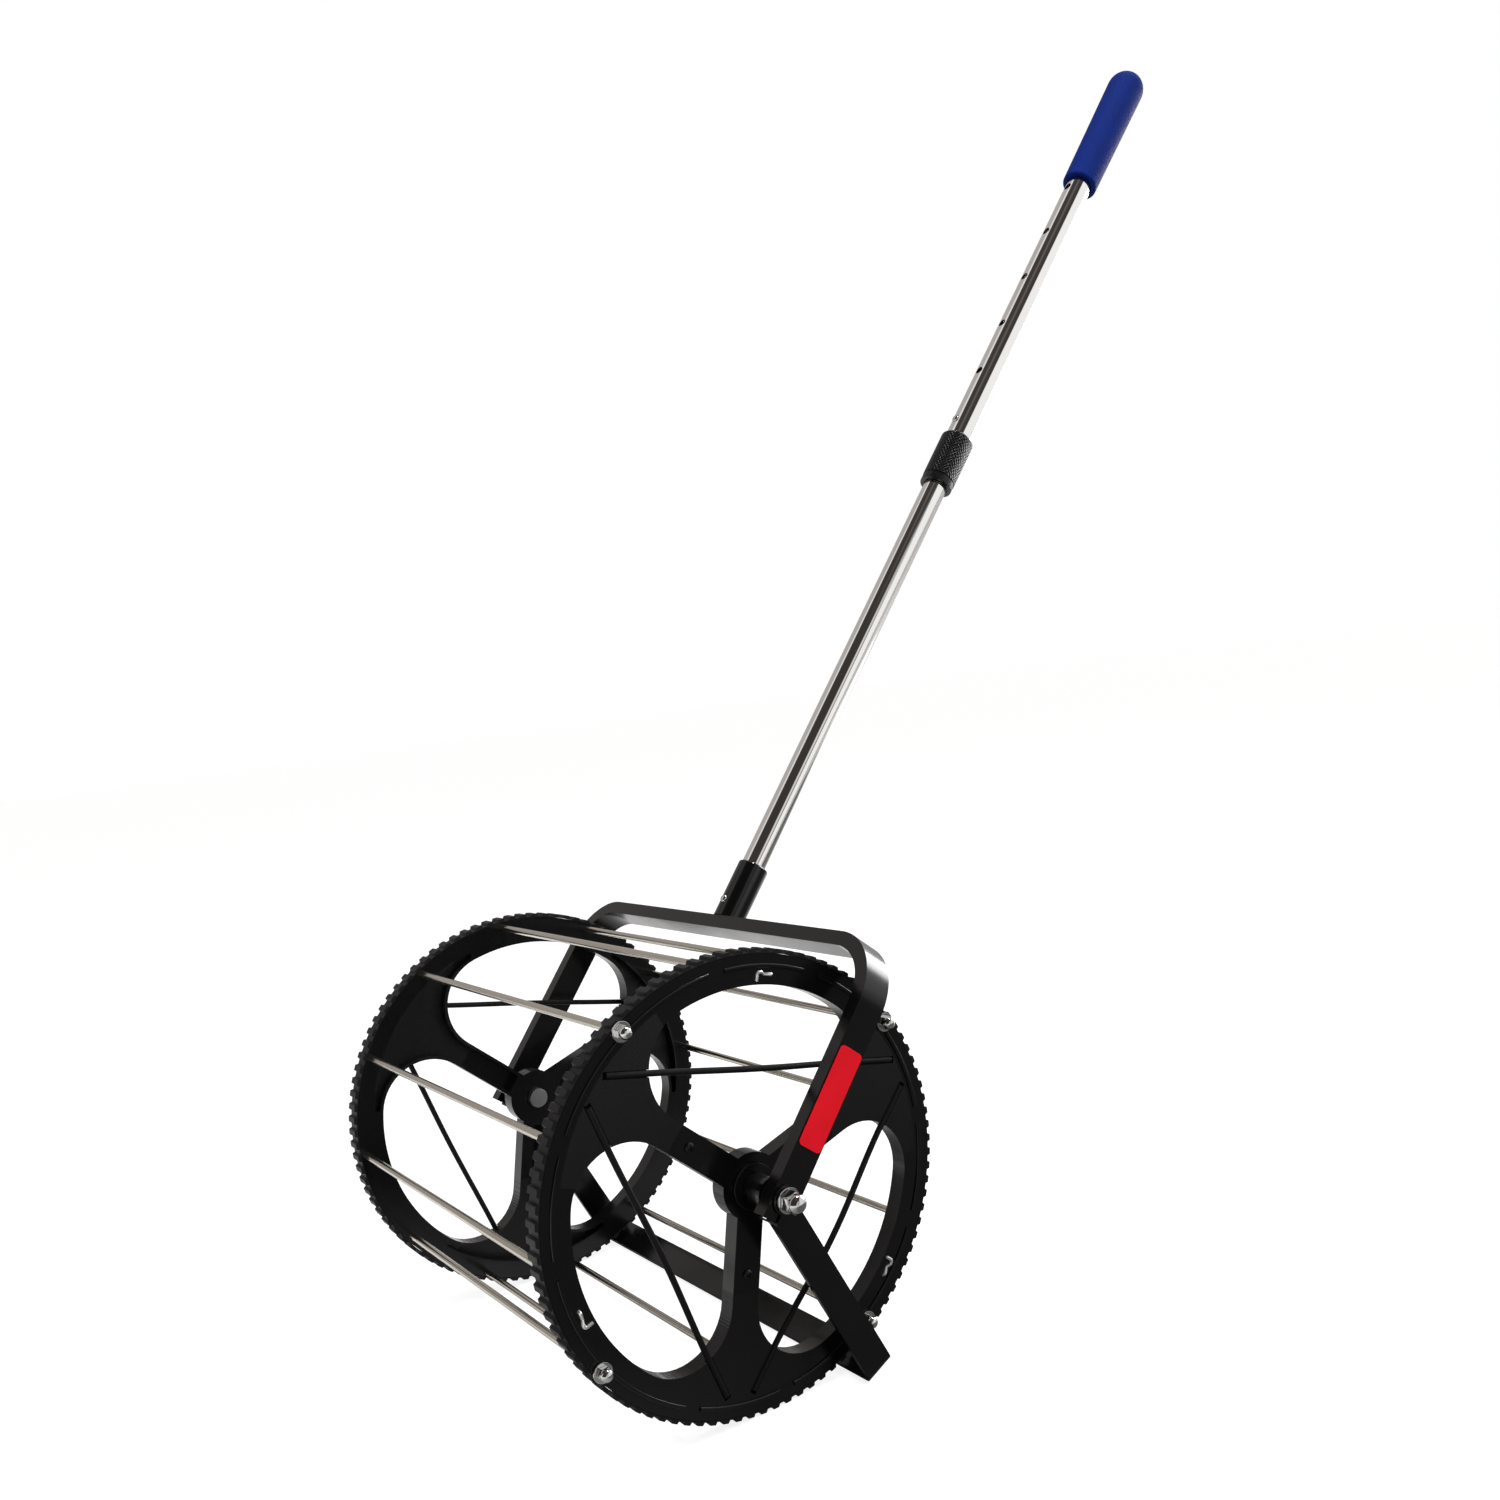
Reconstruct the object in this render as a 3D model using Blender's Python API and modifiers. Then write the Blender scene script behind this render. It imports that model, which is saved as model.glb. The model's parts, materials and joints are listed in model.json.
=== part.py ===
"""Rolling tennis ball collector: a rod drum between two lugged wheels, a yoke, a telescopic handle and a stand.

The axle lies along X. The handle leans back towards +Y, and the stand's foot rests on the floor behind the axle.
Angles of the drum are measured in the YZ plane, from +Y towards +Z.
"""
import bmesh
import bpy
from math import asin, cos, pi, radians, sin, sqrt
from mathutils import Matrix, Vector

MM = 0.001
MERGE = 0.00001

# Clearances
SEAT_GAP = 0.3 * MM
CUT_OVERSHOOT = 1.0 * MM
RUNNING_GAP = 0.35 * MM

# Drum
WHEEL_RADIUS = 145.0 * MM
WHEEL_WIDTH = 12.0 * MM
DRUM_LENGTH = 312.0 * MM
DRUM_TURN = radians(2.5)
LUG_HEIGHT = 2.0 * MM
TREAD_THICKNESS = 0.7 * MM
LUG_COUNT = 96
LUG_ROOT_SHARE = 0.62
LUG_TIP_SHARE = 0.42
PLATE_THICKNESS = 4.5 * MM
WALL = 2.5 * MM
RIM_WIDTH = 12.7 * MM

# Wheel windows and spokes
SPOKE_COUNT = 3
SPOKE_TURN = radians(15)
SPOKE_HALF_WIDTH = 9.5 * MM
WINDOW_RIM_WIDTH = 22.0 * MM
WINDOW_FILLET = 36.0 * MM
HUB_RADIUS = 21.0 * MM
HUB_SOLID_MARGIN = 3.0 * MM
BOSS_RADIUS = 14.8 * MM
BOSS_HEIGHT = 3.0 * MM
SCREW_PLACE = 54.5 * MM
SCREW_SHANK_RADIUS = 1.5 * MM
SCREW_HEAD_RADIUS = 3.2 * MM
SCREW_HEAD_HEIGHT = 1.8 * MM
SCREW_LENGTH = 6.0 * MM

# Rods
ROD_COUNT = 12
ROD_RADIUS = 2.5 * MM
ROD_INSET = 7.2 * MM
ROD_SEAT_DEPTH = 9.0 * MM
BOLTED_ROD_STEP = 3
BOLTED_ROD_FIRST = 1
ROD_THREAD_LENGTH = 6.0 * MM
ROD_NUT_FLANGE_RADIUS = 6.3 * MM
ROD_NUT_FLANGE_HEIGHT = 1.2 * MM
ROD_NUT_RADIUS = 4.7 * MM
ROD_NUT_HEX_HEIGHT = 4.0 * MM
ROD_NUT_DOME_HEIGHT = 3.6 * MM

# Elastic cords across the windows
CORD_RADIUS = 2.0 * MM
CORD_END_HOLD = 5.0 * MM
CORD_END_TURN = radians(55.5)
CORD_BOW = 4.5 * MM
CORD_SLOT_DEPTH = 3.0 * MM
CORD_POINTS = 11

# Axle
BOLT_RADIUS = 4.0 * MM
BOLT_HEAD_RADIUS = 7.4 * MM
BOLT_HEAD_HEIGHT = 5.3 * MM
SPACER_RADIUS = 9.0 * MM
SPACER_LENGTH = 14.7 * MM
LEG_WASHER_THICKNESS = 2.6 * MM
TAB_THICKNESS = 1.2 * MM
TAB_RADIUS = 9.6 * MM
TAB_WIDTH = 5.4 * MM
AXLE_WASHER_RADIUS = 8.0 * MM
AXLE_WASHER_THICKNESS = 1.6 * MM
AXLE_NUT_RADIUS = 7.3 * MM
AXLE_NUT_HEX_HEIGHT = 6.5 * MM
AXLE_NUT_DOME_HEIGHT = 6.0 * MM
NUT_BORE_SPARE = 1.5 * MM

# Yoke
HANDLE_ANGLE = radians(50.75)
YOKE_CLEARANCE = 14.1 * MM
YOKE_WIDTH = 20.6 * MM
YOKE_DEPTH = 10.0 * MM
YOKE_WALL = 1.0 * MM
YOKE_BEND_RADIUS = 45.0 * MM
YOKE_EDGE = 1.2 * MM
ARM_END_REACH = 14.4 * MM
LABEL_LOW = 32.2 * MM
LABEL_LENGTH = 65.0 * MM
LABEL_WIDTH = 18.4 * MM
LABEL_THICKNESS = 0.5 * MM
LABEL_EDGE = 2.0 * MM

# Stand
STAND_ANGLE = radians(65.0)
STAND_WIDTH = 20.8 * MM
STAND_THICKNESS = 3.5 * MM
STAND_BEND_RADIUS = 5.0 * MM

# Handle
SOCKET_RADIUS = 11.5 * MM
SOCKET_LENGTH = 45.6 * MM
SOCKET_FLOOR = 1.5 * MM
SOCKET_EDGE = 1.0 * MM
LOWER_TUBE_RADIUS = 9.5 * MM
LOWER_TUBE_LENGTH = 468.8 * MM
UPPER_TUBE_RADIUS = 10.75 * MM
UPPER_TUBE_LENGTH = 435.6 * MM
TUBE_OVERLAP = 76.3 * MM
TUBE_WALL = 0.9 * MM
COLLAR_RADIUS = 13.5 * MM
COLLAR_LENGTH = 47.7 * MM
COLLAR_LIP = 2.4 * MM
COLLAR_EDGE = 2.2 * MM
GRIP_LENGTH = 127.2 * MM
GRIP_CAP = 8.7 * MM
GRIP_LOW_RADIUS = 14.8 * MM
GRIP_HIGH_RADIUS = 16.0 * MM
GRIP_MOUTH_RADIUS = 12.8 * MM
GRIP_MOUTH_EDGE = 3.0 * MM
GRIP_DOME_HEIGHT = 15.0 * MM

# Snap buttons
BUTTON_RADIUS = 3.0 * MM
BUTTON_PROUD = 2.0 * MM
BUTTON_FLANGE_RADIUS = 3.9 * MM
BUTTON_FLANGE_THICKNESS = 0.8 * MM
LOWER_BUTTON_RISE = 12.4 * MM
UPPER_BUTTON_RISE = 12.6 * MM
HOLE_PITCH = 50.0 * MM
SPARE_HOLE_COUNT = 5
LEAF_THICKNESS = 0.5 * MM
LEAF_WIDTH = 6.0 * MM
LEAF_LENGTH = 34.0 * MM
LEAF_SHARPEST_MITRE = 0.3

# Facet counts
WHEEL_SIDES = 96
TUBE_SIDES = 28
BORE_SIDES = 16
NUT_SIDES = 12
ROD_SIDES = 10
SEAT_SIDES = 8
BEND_STEPS = 8
FILLET_STEPS = 7
WINDOW_STEPS = 8
HUB_STEPS = 4
DOME_STEPS = 3
GRIP_DOME_STEPS = 6

# Places worked out from the sizes above
WHEEL_FACE = DRUM_LENGTH / 2
WHEEL_INNER_FACE = WHEEL_FACE - WHEEL_WIDTH
WHEEL_MIDDLE = WHEEL_FACE - WHEEL_WIDTH / 2
TREAD_INNER_RADIUS = WHEEL_RADIUS - LUG_HEIGHT - TREAD_THICKNESS
PLASTIC_RADIUS = TREAD_INNER_RADIUS * cos(pi / WHEEL_SIDES) - SEAT_GAP / 2
POCKET_OUTER_RADIUS = PLASTIC_RADIUS - RIM_WIDTH
WINDOW_OUTER_RADIUS = WHEEL_RADIUS - WINDOW_RIM_WIDTH
ROD_PITCH_RADIUS = WHEEL_RADIUS - ROD_INSET
CORD_END_RADIUS = WINDOW_OUTER_RADIUS + CORD_END_HOLD
CORD_OFFSET = CORD_END_RADIUS * cos(CORD_END_TURN)
CORD_HALF_LENGTH = CORD_END_RADIUS * sin(CORD_END_TURN)
BORE_RADIUS = BOLT_RADIUS + RUNNING_GAP
BOSS_FACE = WHEEL_FACE + BOSS_HEIGHT
LEG_INNER_FACE = BOSS_FACE + SEAT_GAP + SPACER_LENGTH + SEAT_GAP
LEG_OUTER_FACE = LEG_INNER_FACE + STAND_THICKNESS
LEG_WASHER_FACE = LEG_OUTER_FACE + SEAT_GAP
ARM_INNER_FACE = LEG_WASHER_FACE + LEG_WASHER_THICKNESS + SEAT_GAP
YOKE_HALF_SPAN = ARM_INNER_FACE + YOKE_DEPTH
YOKE_REACH = WHEEL_RADIUS + YOKE_CLEARANCE + YOKE_DEPTH
TAB_FACE = YOKE_HALF_SPAN + SEAT_GAP
AXLE_WASHER_FACE = TAB_FACE + TAB_THICKNESS + SEAT_GAP
AXLE_NUT_FACE = AXLE_WASHER_FACE + AXLE_WASHER_THICKNESS + SEAT_GAP
STAND_FOLD = HANDLE_ANGLE + STAND_ANGLE
STAND_REACH = (WHEEL_RADIUS - STAND_WIDTH / 2 * cos(STAND_ANGLE)) / sin(STAND_ANGLE)
SOCKET_LOW = YOKE_REACH + SEAT_GAP
SOCKET_TOP = SOCKET_LOW + SOCKET_LENGTH
LOWER_TUBE_LOW = SOCKET_LOW + SOCKET_FLOOR + SEAT_GAP
LOWER_TUBE_TOP = LOWER_TUBE_LOW + LOWER_TUBE_LENGTH
COLLAR_LOW = LOWER_TUBE_TOP - TUBE_OVERLAP
COLLAR_HIGH = COLLAR_LOW + COLLAR_LENGTH
SOCKET_BORE_RADIUS = LOWER_TUBE_RADIUS + RUNNING_GAP
UPPER_TUBE_LOW = COLLAR_LOW + COLLAR_LIP + SEAT_GAP
UPPER_TUBE_TOP = UPPER_TUBE_LOW + UPPER_TUBE_LENGTH
GRIP_TOP = UPPER_TUBE_TOP + SEAT_GAP + GRIP_CAP
GRIP_LOW = GRIP_TOP - GRIP_LENGTH
LOWER_BUTTON_PLACE = SOCKET_LOW + LOWER_BUTTON_RISE
UPPER_BUTTON_PLACE = COLLAR_HIGH + UPPER_BUTTON_RISE
UPPER_BORE_RADIUS = UPPER_TUBE_RADIUS - TUBE_WALL
LOWER_BORE_RADIUS = LOWER_TUBE_RADIUS - TUBE_WALL
BUTTON_HOLE_RADIUS = BUTTON_RADIUS + SEAT_GAP

# Turns a piece about its own Z axis into one about the axle, with its X axis along the frame's Y
ACROSS_AXLE = Matrix(((0, 0, 1, 0), (1, 0, 0, 0), (0, 1, 0, 0), (0, 0, 0, 1)))


def arc(centre, radius, start, end, steps):
    """Points of a flat arc, both ends included."""
    turns = [start + (end - start) * step / steps for step in range(steps + 1)]
    return [(centre[0] + radius * cos(turn), centre[1] + radius * sin(turn)) for turn in turns]


def circle(radius, sides, centre=(0.0, 0.0)):
    """Closed flat outline of a circle."""
    return arc(centre, radius, 0.0, 2 * pi * (sides - 1) / sides, sides - 1)


def turn_points(points, angle):
    """Flat points turned about the origin."""
    return [(x * cos(angle) - y * sin(angle), x * sin(angle) + y * cos(angle)) for x, y in points]


def mirror_points(points):
    """The other half of an outline that is symmetric about its X axis, in running order."""
    return [(x, -y) for x, y in reversed(points)]


def polar(radius, angle):
    """Flat point at a radius and an angle."""
    return (radius * cos(angle), radius * sin(angle))


def material(name, colour, roughness, metallic):
    """Principled material with one colour."""
    made = bpy.data.materials.new(name)
    made.use_nodes = True
    shader = made.node_tree.nodes["Principled BSDF"]
    shader.inputs["Base Color"].default_value = (*colour, 1.0)
    shader.inputs["Roughness"].default_value = roughness
    shader.inputs["Metallic"].default_value = metallic
    return made


def add_object(name, data, collection):
    """Object linked to one collection."""
    made = bpy.data.objects.new(name, data)
    collection.objects.link(made)
    return made


def turned(name, profile, sides, collection, closed=False):
    """Piece turned about its Z axis. Its (radius, height) points run down its outer side."""
    points = [(radius, 0.0, height) for radius, height in profile]
    edges = [(step, step + 1) for step in range(len(points) - 1)]
    if closed:
        edges.append((len(points) - 1, 0))
    mesh = bpy.data.meshes.new(name)
    mesh.from_pydata(points, edges, [])
    made = add_object(name, mesh, collection)
    screw = made.modifiers.new("Turn", "SCREW")
    screw.steps = sides
    screw.render_steps = sides
    screw.use_merge_vertices = True
    screw.merge_threshold = MERGE
    return made


def ring(name, outer, inner, low, high, sides, collection):
    """Plain sleeve or washer about the Z axis."""
    profile = [(inner, high), (outer, high), (outer, low), (inner, low)]
    return turned(name, profile, sides, collection, closed=True)


def flat(name, outlines, thickness, collection):
    """Flat piece in its XY plane, about its middle: the first outline is its rim and the rest are holes."""
    curve = bpy.data.curves.new(name, "CURVE")
    curve.dimensions = "2D"
    curve.fill_mode = "BOTH"
    curve.extrude = thickness / 2
    for outline in outlines:
        spline = curve.splines.new("POLY")
        spline.points.add(len(outline) - 1)
        for point, place in zip(spline.points, outline):
            point.co = (place[0], place[1], 0.0, 1.0)
        spline.use_cyclic_u = True
    return as_mesh(add_object(name, curve, collection), collection)


def as_mesh(source, collection):
    """Mesh object that takes the place of a curve or of an object with modifiers."""
    graph = bpy.context.evaluated_depsgraph_get()
    mesh = bpy.data.meshes.new_from_object(source.evaluated_get(graph))
    work = bmesh.new()
    work.from_mesh(mesh)
    bmesh.ops.remove_doubles(work, verts=work.verts, dist=MERGE)
    bmesh.ops.recalc_face_normals(work, faces=work.faces)
    work.to_mesh(mesh)
    work.free()
    name = source.name
    place = source.matrix_world.copy()
    bpy.data.objects.remove(source)
    made = add_object(name, mesh, collection)
    made.matrix_world = place
    return made


def box(name, size, centre, collection):
    """Box about a centre."""
    work = bmesh.new()
    bmesh.ops.create_cube(work, size=1.0)
    bmesh.ops.scale(work, vec=Vector(size), verts=work.verts)
    bmesh.ops.translate(work, vec=Vector(centre), verts=work.verts)
    mesh = bpy.data.meshes.new(name)
    work.to_mesh(mesh)
    work.free()
    return add_object(name, mesh, collection)


def cylinder(name, radius, low, high, sides, collection):
    """Cylinder or prism about the Z axis."""
    work = bmesh.new()
    bmesh.ops.create_cone(
        work, cap_ends=True, segments=sides, radius1=radius, radius2=radius, depth=high - low
    )
    bmesh.ops.translate(work, vec=Vector((0.0, 0.0, (low + high) / 2)), verts=work.verts)
    mesh = bpy.data.meshes.new(name)
    work.to_mesh(mesh)
    work.free()
    return add_object(name, mesh, collection)


def boolean(target, tool, operation):
    """Boolean of a piece with a hidden tool."""
    tool.hide_render = True
    tool.display_type = "WIRE"
    step = target.modifiers.new(tool.name, "BOOLEAN")
    step.operation = operation
    step.solver = "EXACT"
    step.object = tool


def set_in(frame, *pieces):
    """Parent pieces to a frame, in which they were modelled."""
    for piece in pieces:
        piece.parent = frame


def finish(piece, surface, smooth_angle=None):
    """Give a piece its material and, if it is round, smooth shading."""
    if piece.data.materials:
        piece.data.materials[0] = surface
    else:
        piece.data.materials.append(surface)
    if smooth_angle is not None and isinstance(piece.data, bpy.types.Mesh):
        piece.data.shade_smooth()
        piece.data.set_sharp_from_angle(angle=smooth_angle)


def mirrored_copy(source, name, collection):
    """Copy of a finished piece on the other side of its frame's XY plane."""
    graph = bpy.context.evaluated_depsgraph_get()
    mesh = bpy.data.meshes.new_from_object(source.evaluated_get(graph))
    work = bmesh.new()
    work.from_mesh(mesh)
    bmesh.ops.scale(work, vec=Vector((1.0, 1.0, -1.0)), verts=work.verts)
    bmesh.ops.reverse_faces(work, faces=work.faces)
    work.to_mesh(mesh)
    work.free()
    made = add_object(name, mesh, collection)
    made.parent = source.parent
    return made


def window_outline():
    """Window between two spokes, centred on its own X axis."""
    half_gap = pi / SPOKE_COUNT
    centre_radius = WINDOW_OUTER_RADIUS - WINDOW_FILLET
    lean = asin((SPOKE_HALF_WIDTH + WINDOW_FILLET) / centre_radius)
    turn = half_gap - lean
    hub_turn = half_gap - asin(SPOKE_HALF_WIDTH / HUB_RADIUS)
    hub_half = arc((0.0, 0.0), HUB_RADIUS, 0.0, hub_turn, HUB_STEPS // 2)
    centre = polar(centre_radius, turn)
    fillet = arc(centre, WINDOW_FILLET, half_gap + pi / 2, turn, FILLET_STEPS)
    outer_half = arc((0.0, 0.0), WINDOW_OUTER_RADIUS, turn, 0.0, WINDOW_STEPS // 2)
    half = hub_half[1:] + fillet + outer_half[1:-1]
    lower = mirror_points(half)
    return [hub_half[0]] + half + [outer_half[-1]] + lower


def pocket_outline():
    """Hollow behind a spoke and the web at its end, along its own X axis."""
    centre_radius = WINDOW_OUTER_RADIUS - WINDOW_FILLET
    lean = asin((SPOKE_HALF_WIDTH + WINDOW_FILLET) / centre_radius)
    half_width = SPOKE_HALF_WIDTH - WALL
    start_radius = HUB_RADIUS + HUB_SOLID_MARGIN
    start = (sqrt(start_radius ** 2 - half_width ** 2), half_width)
    fillet = arc(polar(centre_radius, lean), WINDOW_FILLET + WALL, -pi / 2, lean, FILLET_STEPS)
    outer_half = arc((0.0, 0.0), POCKET_OUTER_RADIUS, lean, 0.0, WINDOW_STEPS // 2)
    half = [start] + fillet + outer_half[:-1]
    return half + [outer_half[-1]] + mirror_points(half)


def window_edge_on_cord():
    """Distance along the cord from its middle to the window's edge."""
    centre_radius = WINDOW_OUTER_RADIUS - WINDOW_FILLET
    lean = asin((SPOKE_HALF_WIDTH + WINDOW_FILLET) / centre_radius)
    centre = polar(centre_radius, pi / SPOKE_COUNT - lean)
    return centre[1] + sqrt(WINDOW_FILLET ** 2 - (CORD_OFFSET - centre[0]) ** 2)


def spoke_angles():
    """Direction of each spoke in the drum's frame."""
    return [SPOKE_TURN + 2 * pi * number / SPOKE_COUNT for number in range(SPOKE_COUNT)]


def window_angles():
    """Direction of each window's middle in the drum's frame."""
    return [angle + pi / SPOKE_COUNT for angle in spoke_angles()]


def is_bolted(number):
    """Whether a rod passes through the wheels and carries nuts."""
    return number % BOLTED_ROD_STEP == BOLTED_ROD_FIRST


def rod_end(number):
    """Distance from the middle of the drum to a rod's end."""
    if is_bolted(number):
        return WHEEL_FACE + ROD_THREAD_LENGTH
    return WHEEL_INNER_FACE + ROD_SEAT_DEPTH


def rod_angle(number):
    """Direction of a rod in the drum's frame."""
    return 2 * pi * number / ROD_COUNT


def joined(name, pieces, collection):
    """Several separate solids as one hidden tool."""
    work = bmesh.new()
    for piece in pieces:
        copy = piece.data.copy()
        copy.transform(piece.matrix_basis)
        work.from_mesh(copy)
        bpy.data.meshes.remove(copy)
        bpy.data.objects.remove(piece)
    mesh = bpy.data.meshes.new(name)
    work.to_mesh(mesh)
    work.free()
    return add_object(name, mesh, collection)


def placed(piece, matrix):
    """Put a tool where it cuts."""
    piece.matrix_basis = matrix
    return piece


def wheel_tools(cutters):
    """Hidden tools that cut the pockets, rod seats and cord slots of the near wheel."""
    tools = []
    depth = WHEEL_WIDTH - PLATE_THICKNESS + CUT_OVERSHOOT
    middle = WHEEL_FACE - PLATE_THICKNESS - depth / 2
    for angle in spoke_angles():
        pocket = flat("pocket", [turn_points(pocket_outline(), angle)], depth, cutters)
        tools.append(placed(pocket, Matrix.Translation((0.0, 0.0, middle))))
    seat_radius = (ROD_RADIUS + SEAT_GAP) / cos(pi / SEAT_SIDES)
    for number in range(ROD_COUNT):
        low = WHEEL_INNER_FACE - CUT_OVERSHOOT
        high = rod_end(number) + SEAT_GAP
        seat = cylinder("seat", seat_radius, low, high, SEAT_SIDES, cutters)
        x, y = polar(ROD_PITCH_RADIUS, rod_angle(number))
        tools.append(placed(seat, Matrix.Translation((x, y, 0.0))))
    return joined("wheel_tools", tools, cutters)


def slot_tools(cutters):
    """Hidden tools that cut the slots for the cords' ends into the near wheel's face."""
    inner = window_edge_on_cord() - WALL
    outer = CORD_HALF_LENGTH + SEAT_GAP
    size = (2 * (CORD_RADIUS + SEAT_GAP), outer - inner, CORD_SLOT_DEPTH + CUT_OVERSHOOT)
    height = WHEEL_FACE - CORD_SLOT_DEPTH + size[2] / 2
    tools = []
    for angle in window_angles():
        for side in (-1, 1):
            slot = box("slot", size, (CORD_OFFSET, side * (inner + outer) / 2, height), cutters)
            tools.append(placed(slot, Matrix.Rotation(angle, 4, "Z")))
    return joined("slot_tools", tools, cutters)


def wheels(parts, cutters, frame, surface):
    """Two spoked wheels, hollow behind their face plates."""
    holes = [turn_points(window_outline(), angle) for angle in window_angles()]
    for angle in spoke_angles():
        place = polar(SCREW_PLACE, angle)
        holes.append(circle(SCREW_SHANK_RADIUS + SEAT_GAP, SEAT_SIDES, place))
    near = flat("wheel_near", [circle(PLASTIC_RADIUS, WHEEL_SIDES)] + holes, WHEEL_WIDTH, parts)
    near.data.transform(Matrix.Translation((0.0, 0.0, WHEEL_MIDDLE)))
    boss = cylinder("boss", BOSS_RADIUS, WHEEL_MIDDLE, BOSS_FACE, TUBE_SIDES, cutters)
    bore = cylinder(
        "bore", BORE_RADIUS, WHEEL_INNER_FACE - CUT_OVERSHOOT, BOSS_FACE + CUT_OVERSHOOT, BORE_SIDES, cutters
    )
    pockets = wheel_tools(cutters)
    slots = slot_tools(cutters)
    boolean(near, boss, "UNION")
    for tool in (bore, pockets, slots):
        boolean(near, tool, "DIFFERENCE")
    set_in(frame, near, boss, bore, pockets, slots)
    finish(near, surface)
    far = mirrored_copy(near, "wheel_far", parts)
    finish(far, surface)


def tread_outline():
    """Outline of a tread ring with one lug to each pitch."""
    base = WHEEL_RADIUS - LUG_HEIGHT
    pitch = 2 * pi / LUG_COUNT
    points = []
    for number in range(LUG_COUNT):
        middle = number * pitch
        root = pitch * LUG_ROOT_SHARE / 2
        tip = pitch * LUG_TIP_SHARE / 2
        points.append(polar(base, middle - root))
        points.append(polar(WHEEL_RADIUS, middle - tip))
        points.append(polar(WHEEL_RADIUS, middle + tip))
        points.append(polar(base, middle + root))
    return points


def treads(parts, frame, surface):
    """Rubber treads on the two wheels."""
    for name, side in (("tread_near", 1), ("tread_far", -1)):
        outlines = [tread_outline(), circle(TREAD_INNER_RADIUS, WHEEL_SIDES)]
        tread = flat(name, outlines, WHEEL_WIDTH, parts)
        tread.location.z = side * WHEEL_MIDDLE
        set_in(frame, tread)
        finish(tread, surface)


def dome_profile(radius, low, height, steps):
    """Points down a dome, from its top on the axis to its rim."""
    points = arc((0.0, low), 1.0, pi / 2, 0.0, steps)
    return [(radius * x, low + height * (y - low)) for x, y in points]


def cap_nut(name, sizes, parts, frame, surface):
    """Domed nut with its seat at height 0 and a blind bore for its thread."""
    flange_radius, flange, radius, hexagon, dome, bore_radius, bore_depth = sizes
    top = flange + hexagon
    profile = dome_profile(radius, top, dome, DOME_STEPS)
    profile.append((radius, flange))
    if flange_radius > radius:
        profile.append((flange_radius, flange))
    profile.append((max(flange_radius, radius), 0.0))
    profile.append((bore_radius, 0.0))
    profile.append((bore_radius, bore_depth))
    profile.append((0.0, bore_depth))
    nut = turned(name, profile, NUT_SIDES, parts)
    set_in(frame, nut)
    finish(nut, surface)
    return nut


def rods(parts, frame, surface, nut_surface):
    """Twelve steel rods, four of them bolted through the wheels with domed nuts."""
    for number in range(ROD_COUNT):
        x, y = polar(ROD_PITCH_RADIUS, rod_angle(number))
        end = rod_end(number)
        rod = cylinder(f"rod_{number + 1}", ROD_RADIUS, -end, end, ROD_SIDES, parts)
        rod.location = (x, y, 0.0)
        set_in(frame, rod)
        finish(rod, surface, radians(40))
        if is_bolted(number):
            depth = ROD_THREAD_LENGTH - SEAT_GAP + NUT_BORE_SPARE / 2
            sizes = (
                ROD_NUT_FLANGE_RADIUS, ROD_NUT_FLANGE_HEIGHT, ROD_NUT_RADIUS,
                ROD_NUT_HEX_HEIGHT, ROD_NUT_DOME_HEIGHT, ROD_RADIUS + SEAT_GAP, depth,
            )
            for side_name, side in (("near", 1), ("far", -1)):
                nut = cap_nut(f"rod_nut_{side_name}_{number + 1}", sizes, parts, frame, nut_surface)
                nut.location = (x, y, side * (WHEEL_FACE + SEAT_GAP))
                if side < 0:
                    nut.rotation_euler.x = pi


def cord_height(along):
    """Distance of the cord's middle line from the middle of the drum."""
    seated = WHEEL_FACE - CORD_SLOT_DEPTH + SEAT_GAP + CORD_RADIUS
    edge = window_edge_on_cord()
    if abs(along) >= edge:
        return seated
    return seated + CORD_BOW * cos(pi * along / (2 * edge)) ** 2


def cords(parts, frame, surface):
    """Elastic cord across each window, with its ends laid in the wheel's slots."""
    for side_name, side in (("near", 1), ("far", -1)):
        for number, angle in enumerate(window_angles()):
            curve = bpy.data.curves.new("cord", "CURVE")
            curve.dimensions = "3D"
            curve.bevel_depth = CORD_RADIUS
            curve.bevel_resolution = 2
            curve.use_fill_caps = True
            spline = curve.splines.new("POLY")
            spline.points.add(CORD_POINTS - 1)
            for step, point in enumerate(spline.points):
                along = CORD_HALF_LENGTH * (2 * step / (CORD_POINTS - 1) - 1)
                point.co = (CORD_OFFSET, along, side * cord_height(along), 1.0)
            cord = add_object(f"cord_{side_name}_{number + 1}", curve, parts)
            cord.rotation_euler.z = angle
            set_in(frame, cord)
            finish(cord, surface)


def spoke_screws(parts, frame, surface):
    """Small round-headed screw in each spoke's face plate."""
    top = SCREW_HEAD_HEIGHT
    profile = dome_profile(SCREW_HEAD_RADIUS, 0.0, top, DOME_STEPS)
    profile.append((SCREW_SHANK_RADIUS, 0.0))
    profile.append((SCREW_SHANK_RADIUS, -SCREW_LENGTH))
    profile.append((0.0, -SCREW_LENGTH))
    for side_name, side in (("near", 1), ("far", -1)):
        for number, angle in enumerate(spoke_angles()):
            screw = turned(f"spoke_screw_{side_name}_{number + 1}", profile, SEAT_SIDES, parts)
            x, y = polar(SCREW_PLACE, angle)
            screw.location = (x, y, side * (WHEEL_FACE + SEAT_GAP))
            if side < 0:
                screw.rotation_euler.x = pi
            set_in(frame, screw)
            finish(screw, surface)


def tab_back_edge():
    """How far back the stop tab reaches before it meets the front edge of the stand's leg."""
    reach = ARM_END_REACH + SEAT_GAP
    return (reach * sin(STAND_FOLD) - STAND_WIDTH / 2 - SEAT_GAP) / -cos(STAND_FOLD)


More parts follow.
